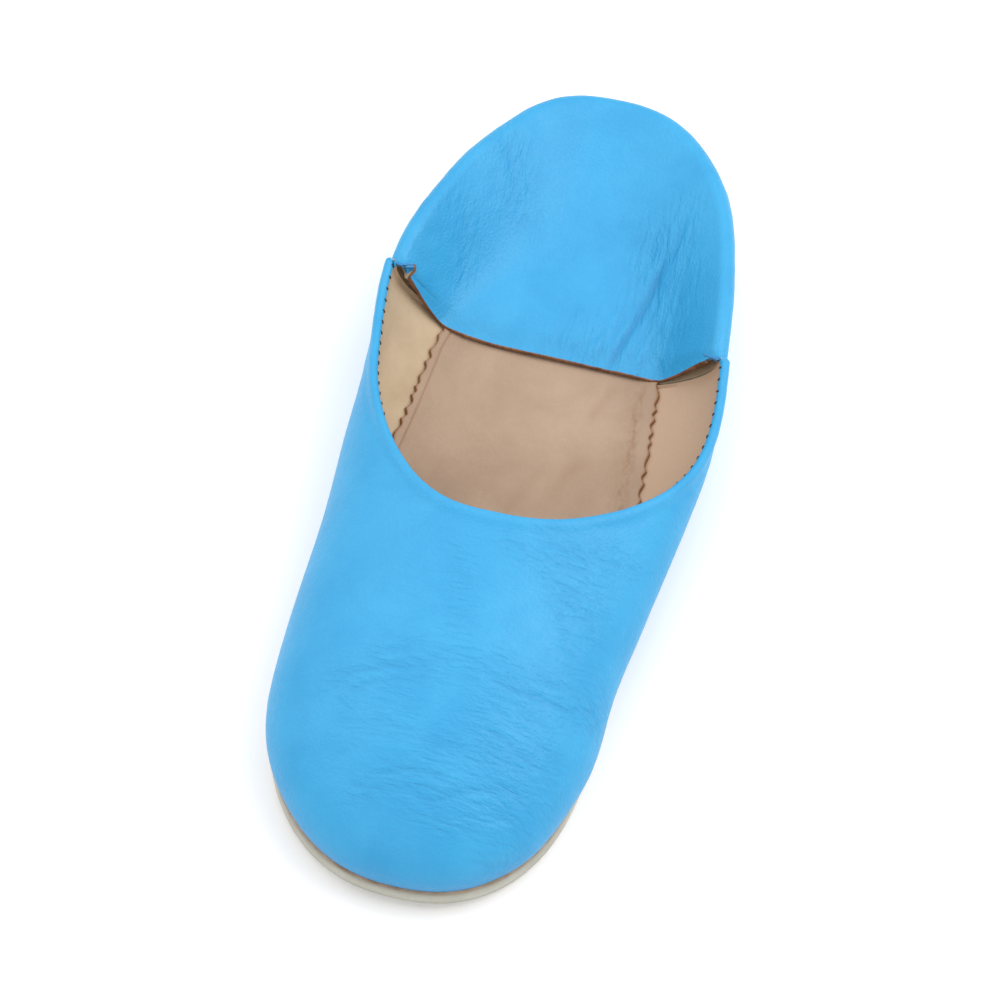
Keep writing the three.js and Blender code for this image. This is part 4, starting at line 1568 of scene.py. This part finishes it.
@dataclass(frozen=True)
class StitchRow:
    """A row of hand stitches, each a short tapered length of thread on a place of its own."""

    name: str
    length: float
    thickness: float
    wobble: float
    seed: int

    def tree(self) -> bpy.types.NodeTree:
        """Builds the nodes that set a stitch on each point, along its thread direction."""
        tree = bpy.data.node_groups.new(f"{self.name}_nodes", "GeometryNodeTree")
        kit = NodeKit(tree)
        kit.faces("INPUT", "Geometry", "Geometry")
        kit.faces("INPUT", "Float", "Length", "Thickness", "Wobble")
        kit.faces("INPUT", "Int", "Seed")
        kit.faces("INPUT", "Material", "Thread")
        kit.faces("OUTPUT", "Geometry", "Geometry")
        given = kit.add("NodeGroupInput").outputs
        sphere = kit.add("GeometryNodeMeshUVSphere", Segments=8, Rings=8, Radius=0.5)
        thick = given["Thickness"]
        size = kit.add("ShaderNodeCombineXYZ", X=thick, Y=thick, Z=given["Length"])
        way = kit.add("GeometryNodeInputNamedAttribute", data_type="FLOAT_VECTOR", Name="thread_way")
        turn = kit.add("FunctionNodeAlignRotationToVector", axis="Z", Vector=way.outputs["Attribute"])
        wide = kit.add("ShaderNodeVectorMath", operation="SCALE", Scale=given["Wobble"])
        wide.inputs[0].default_value = (1.0, 1.0, 1.0)
        back = kit.add("ShaderNodeVectorMath", operation="SCALE", Scale=-1.0)
        kit.feed(back.inputs[0], wide.outputs[0])
        shake = kit.add("FunctionNodeRandomValue", data_type="FLOAT_VECTOR", Seed=given["Seed"])
        kit.feed(shake.inputs[0], back.outputs[0])
        kit.feed(shake.inputs[1], wide.outputs[0])
        shaken = kit.add("FunctionNodeEulerToRotation", Euler=shake.outputs[0])
        both = kit.add("FunctionNodeRotateRotation", Rotation=turn.outputs[0], Rotate_By=shaken.outputs[0])
        copies = kit.add(
            "GeometryNodeInstanceOnPoints",
            Points=given["Geometry"],
            Instance=sphere.outputs["Mesh"],
            Rotation=both.outputs[0],
            Scale=size.outputs[0],
        )
        real = kit.add("GeometryNodeRealizeInstances", Geometry=copies.outputs[0])
        rounded = kit.add("GeometryNodeSetShadeSmooth")
        kit.feed(rounded.inputs[0], real.outputs[0])
        dressed = kit.add("GeometryNodeSetMaterial", Geometry=rounded.outputs[0], Material=given["Thread"])
        kit.add("NodeGroupOutput", Geometry=dressed.outputs[0])
        return tree

    def build(self, last: Last, points: Array, ways: Array, thread: Material, slot: Slot) -> None:
        """Sews the row.

        Args:
            last: The last.
            points: The middle of each stitch.
            ways: The direction of each stitch.
            thread: The thread's material.
            slot: The record's slot that the thread goes with.
        """
        mesh = bpy.data.meshes.new(f"{self.name}_places")
        mesh.from_pydata(last.in_frame(points).tolist(), [], [])
        layer = mesh.attributes.new("thread_way", "FLOAT_VECTOR", "POINT")
        layer.data.foreach_set("vector", unit(ways).astype(np.float32).ravel())
        guide = add_object(f"{self.name}_guide", mesh)
        tree = self.tree()
        modifier = guide.modifiers.new("stitches", "NODES")
        modifier.node_group = tree
        values = {
            "Length": self.length * MM,
            "Thickness": self.thickness * MM,
            "Wobble": self.wobble,
            "Seed": self.seed,
            "Thread": thread,
        }
        for item in tree.interface.items_tree:
            if item.in_out == "INPUT" and item.name in values:
                modifier[item.identifier] = values[item.name]
        depsgraph = bpy.context.evaluated_depsgraph_get()
        sewn = bpy.data.meshes.new_from_object(guide.evaluated_get(depsgraph))
        guide.modifiers.clear()
        bpy.data.objects.remove(guide)
        sewn.name = self.name
        report(add_object(self.name, sewn), slot)


def places_along(line: Array, spacing: float, start: float, stop: float) -> Array:
    """Even places on a line between two distances from its start.

    Args:
        line: Points of the line.
        spacing: Distance between places.
        start: Distance of the first place.
        stop: Distance that the places end before.

    Returns:
        The places.
    """
    return at_goals(np.arange(start, stop, spacing), walked_along(line), line)


@dataclass(frozen=True)
class Sewing:
    """The whip stitches over the turned throat, and the stitches that hold the junctions.

    A whip stitch crosses the shoulder of the turned throat, whip_row rows past the vamp's edge, in
    the direction of the two rows whip_span before and after it. A tie starts on the fold's top and
    leans to its neighbours in turn.
    """

    last: Last
    vamp: Vamp
    quarter: HeelQuarter
    whip_row: int = 8
    whip_span: int = 2
    whip_spacing: float = 3.9
    whip_start: float = 2.5
    whip_stop_medial: float = 60.0
    whip_stop_lateral: float = 46.0
    tie_row: int = 4
    tie_spacing: float = 1.5
    tie_start: float = 0.4
    tie_stop: float = 6.5
    tie_fall: float = 0.5
    tie_lean: float = 0.35
    tie_ahead: float = 0.6
    tie_lift: float = 0.25

    def whip(self, turned: Array, thread: Material) -> None:
        """Sews the whip stitches on the turned vamp."""
        row = self.vamp.up + self.whip_row
        shoulder = turned[:, row]
        over = unit(turned[:, row + self.whip_span] - turned[:, row - self.whip_span])
        for name, line, ways, stop in (
            ("medial", shoulder, over, self.whip_stop_medial),
            ("lateral", shoulder[::-1], over[::-1], self.whip_stop_lateral),
        ):
            points = places_along(line, self.whip_spacing, self.whip_start, stop)
            apart = np.linalg.norm(points[:, None, :] - line[None, :, :], axis=-1)
            stitches = StitchRow(f"whip_stitches_{name}", length=1.3, thickness=0.7, wobble=0.3, seed=3)
            stitches.build(self.last, points, ways[np.argmin(apart, axis=1)], thread, Slot.NATURAL)

    def tie(self, turned: Array, thread: Material) -> None:
        """Sews the fold to both wings."""
        folded, _, _ = self.quarter.creased()
        for name, strip, end in (("medial", folded[-1], turned[0]), ("lateral", folded[0], turned[-1])):
            rim = strip[self.quarter.wall_steps :]
            fold = rim[int(np.argmax(rim[:, 2])) :]
            points = places_along(fold, self.tie_spacing, self.tie_start, self.tie_stop)
            ways = end[self.vamp.up + self.tie_row] - points
            ways[:, 2] *= self.tie_fall
            ways = unit(ways)
            ways[:, 0] += np.where(np.arange(len(points)) % 2 == 0, self.tie_lean, -self.tie_lean)
            middles = points + unit(ways) * self.tie_ahead + np.array([0.0, 0.0, self.tie_lift])
            stitches = StitchRow(f"junction_stitches_{name}", length=4.4, thickness=0.8, wobble=0.15, seed=7)
            stitches.build(self.last, middles, ways, thread, Slot.GOATSKIN)

    def build(self, dark: Material, blue: Material) -> None:
        """Sews the whip stitches with the dark thread and the junctions with the blue one."""
        outer, _, _ = self.vamp.creased()
        turned = self.vamp.turned(outer)
        self.whip(turned, dark)
        self.tie(turned, blue)


# ---- The studio ----


WHITE = (1.0, 1.0, 1.0)


@dataclass(frozen=True)
class Lamp:
    """A soft square light."""

    name: str
    place: tuple[float, float, float]
    size: float
    power: float
    colour: Colour = WHITE

    def build(self, target: tuple[float, float, float]) -> None:
        """Makes the light, facing a target."""
        lamp = bpy.data.lights.new(self.name, "AREA")
        lamp.size = self.size
        lamp.energy = self.power
        lamp.color = self.colour
        light = add_object(self.name, lamp)
        light.location = self.place
        ahead = Vector(target) - Vector(self.place)
        light.rotation_euler = ahead.to_track_quat("-Z", "Y").to_euler()


@dataclass(frozen=True)
class Studio:
    """A pale floor, soft lights and the camera. Lengths are in metres, the lens in millimetres."""

    azimuth: float = 10.0
    elevation: float = 58.0
    distance: float = 1.1
    roll: float = 4.0
    target: tuple[float, float, float] = (0.0, 0.0, 0.02)
    aside: float = -0.006
    upward: float = -0.0111
    lens: float = 143.3
    clip: float = 0.05
    air: float = 0.7
    floor_half: float = 3.0
    floor_tone: float = 0.9
    floor_rough: float = 0.8
    floor_glow: float = 0.12
    lamps: tuple[Lamp, ...] = (
        Lamp("key", place=(0.8, 0.3, 1.0), size=1.0, power=8.5, colour=(1.0, 0.99, 0.97)),
        Lamp("top", place=(-0.1, 0.5, 1.3), size=1.2, power=5.3),
        Lamp("medial", place=(-0.9, 0.1, 0.9), size=1.0, power=3.6),
        Lamp("front", place=(-0.3, -1.1, 0.9), size=0.9, power=2.2, colour=(0.98, 0.99, 1.0)),
    )

    def build(self) -> None:
        """Makes the floor, the lights and the camera."""
        self.build_floor()
        for lamp in self.lamps:
            lamp.build(self.target)
        world = bpy.data.worlds.new("studio_air")
        world.use_nodes = True
        background = world.node_tree.nodes["Background"]
        background.inputs["Color"].default_value = (*WHITE, 1.0)
        background.inputs["Strength"].default_value = self.air
        bpy.context.scene.world = world
        bpy.context.scene.view_settings.view_transform = "Standard"
        self.build_camera()

    def build_floor(self) -> None:
        """Makes the pale floor."""
        far = self.floor_half
        mesh = bpy.data.meshes.new("floor")
        mesh.from_pydata([(-far, -far, 0), (far, -far, 0), (far, far, 0), (-far, far, 0)], [], [(0, 1, 2, 3)])
        material = bpy.data.materials.new("pale_floor")
        material.use_nodes = True
        shader = material.node_tree.nodes["Principled BSDF"].inputs
        shader["Base Color"].default_value = (self.floor_tone, self.floor_tone, self.floor_tone, 1.0)
        shader["Roughness"].default_value = self.floor_rough
        shader["Emission Color"].default_value = (*WHITE, 1.0)
        shader["Emission Strength"].default_value = self.floor_glow
        mesh.materials.append(material)
        add_object("floor", mesh)

    def build_camera(self) -> None:
        """Makes the camera, rolled as the shoe is seen, and frames the shoe."""
        turn, lift, roll = (math.radians(v) for v in (self.azimuth, self.elevation, self.roll))
        back = Vector((math.sin(turn) * math.cos(lift), -math.cos(turn) * math.cos(lift), math.sin(lift)))
        right = Vector((math.cos(turn), math.sin(turn), 0.0))
        up = back.cross(right)
        across = right * math.cos(roll) + up * math.sin(roll)
        above = up * math.cos(roll) - right * math.sin(roll)
        stand = Vector(self.target) + back * self.distance + across * self.aside + above * self.upward
        lens = bpy.data.cameras.new("camera")
        lens.lens = self.lens
        lens.clip_start = self.clip
        camera = add_object("camera", lens)
        turned = Matrix((across, above, back)).transposed().to_4x4()
        camera.matrix_world = Matrix.Translation(stand) @ turned
        bpy.context.scene.camera = camera


# ---- The shoe ----


def main() -> None:
    """Builds the shoe and its studio, and logs each piece."""
    logging.basicConfig(level=logging.INFO, format="%(name)s: %(message)s")
    Studio().build()
    last = Last()
    seams = Seams()
    group = leather_group()
    goatskin = GOATSKIN.material(group)
    lining = LINING.material(group)
    cut_edge = CUT_EDGE.material(group)
    vamp = Vamp(last, seams)
    vamp.build(goatskin, lining)
    quarter = HeelQuarter(last, seams)
    quarter.build(QUARTER_GOATSKIN.material(group), lining, cut_edge)
    Insole(last).build(INSOLE.material(group))
    Outsole(last).build(SOLE.material(group), MARGIN.material(group))
    Sewing(last, vamp, quarter).build(DARK_THREAD.material(), BLUE_THREAD.material())


if __name__ == "__main__":
    main()
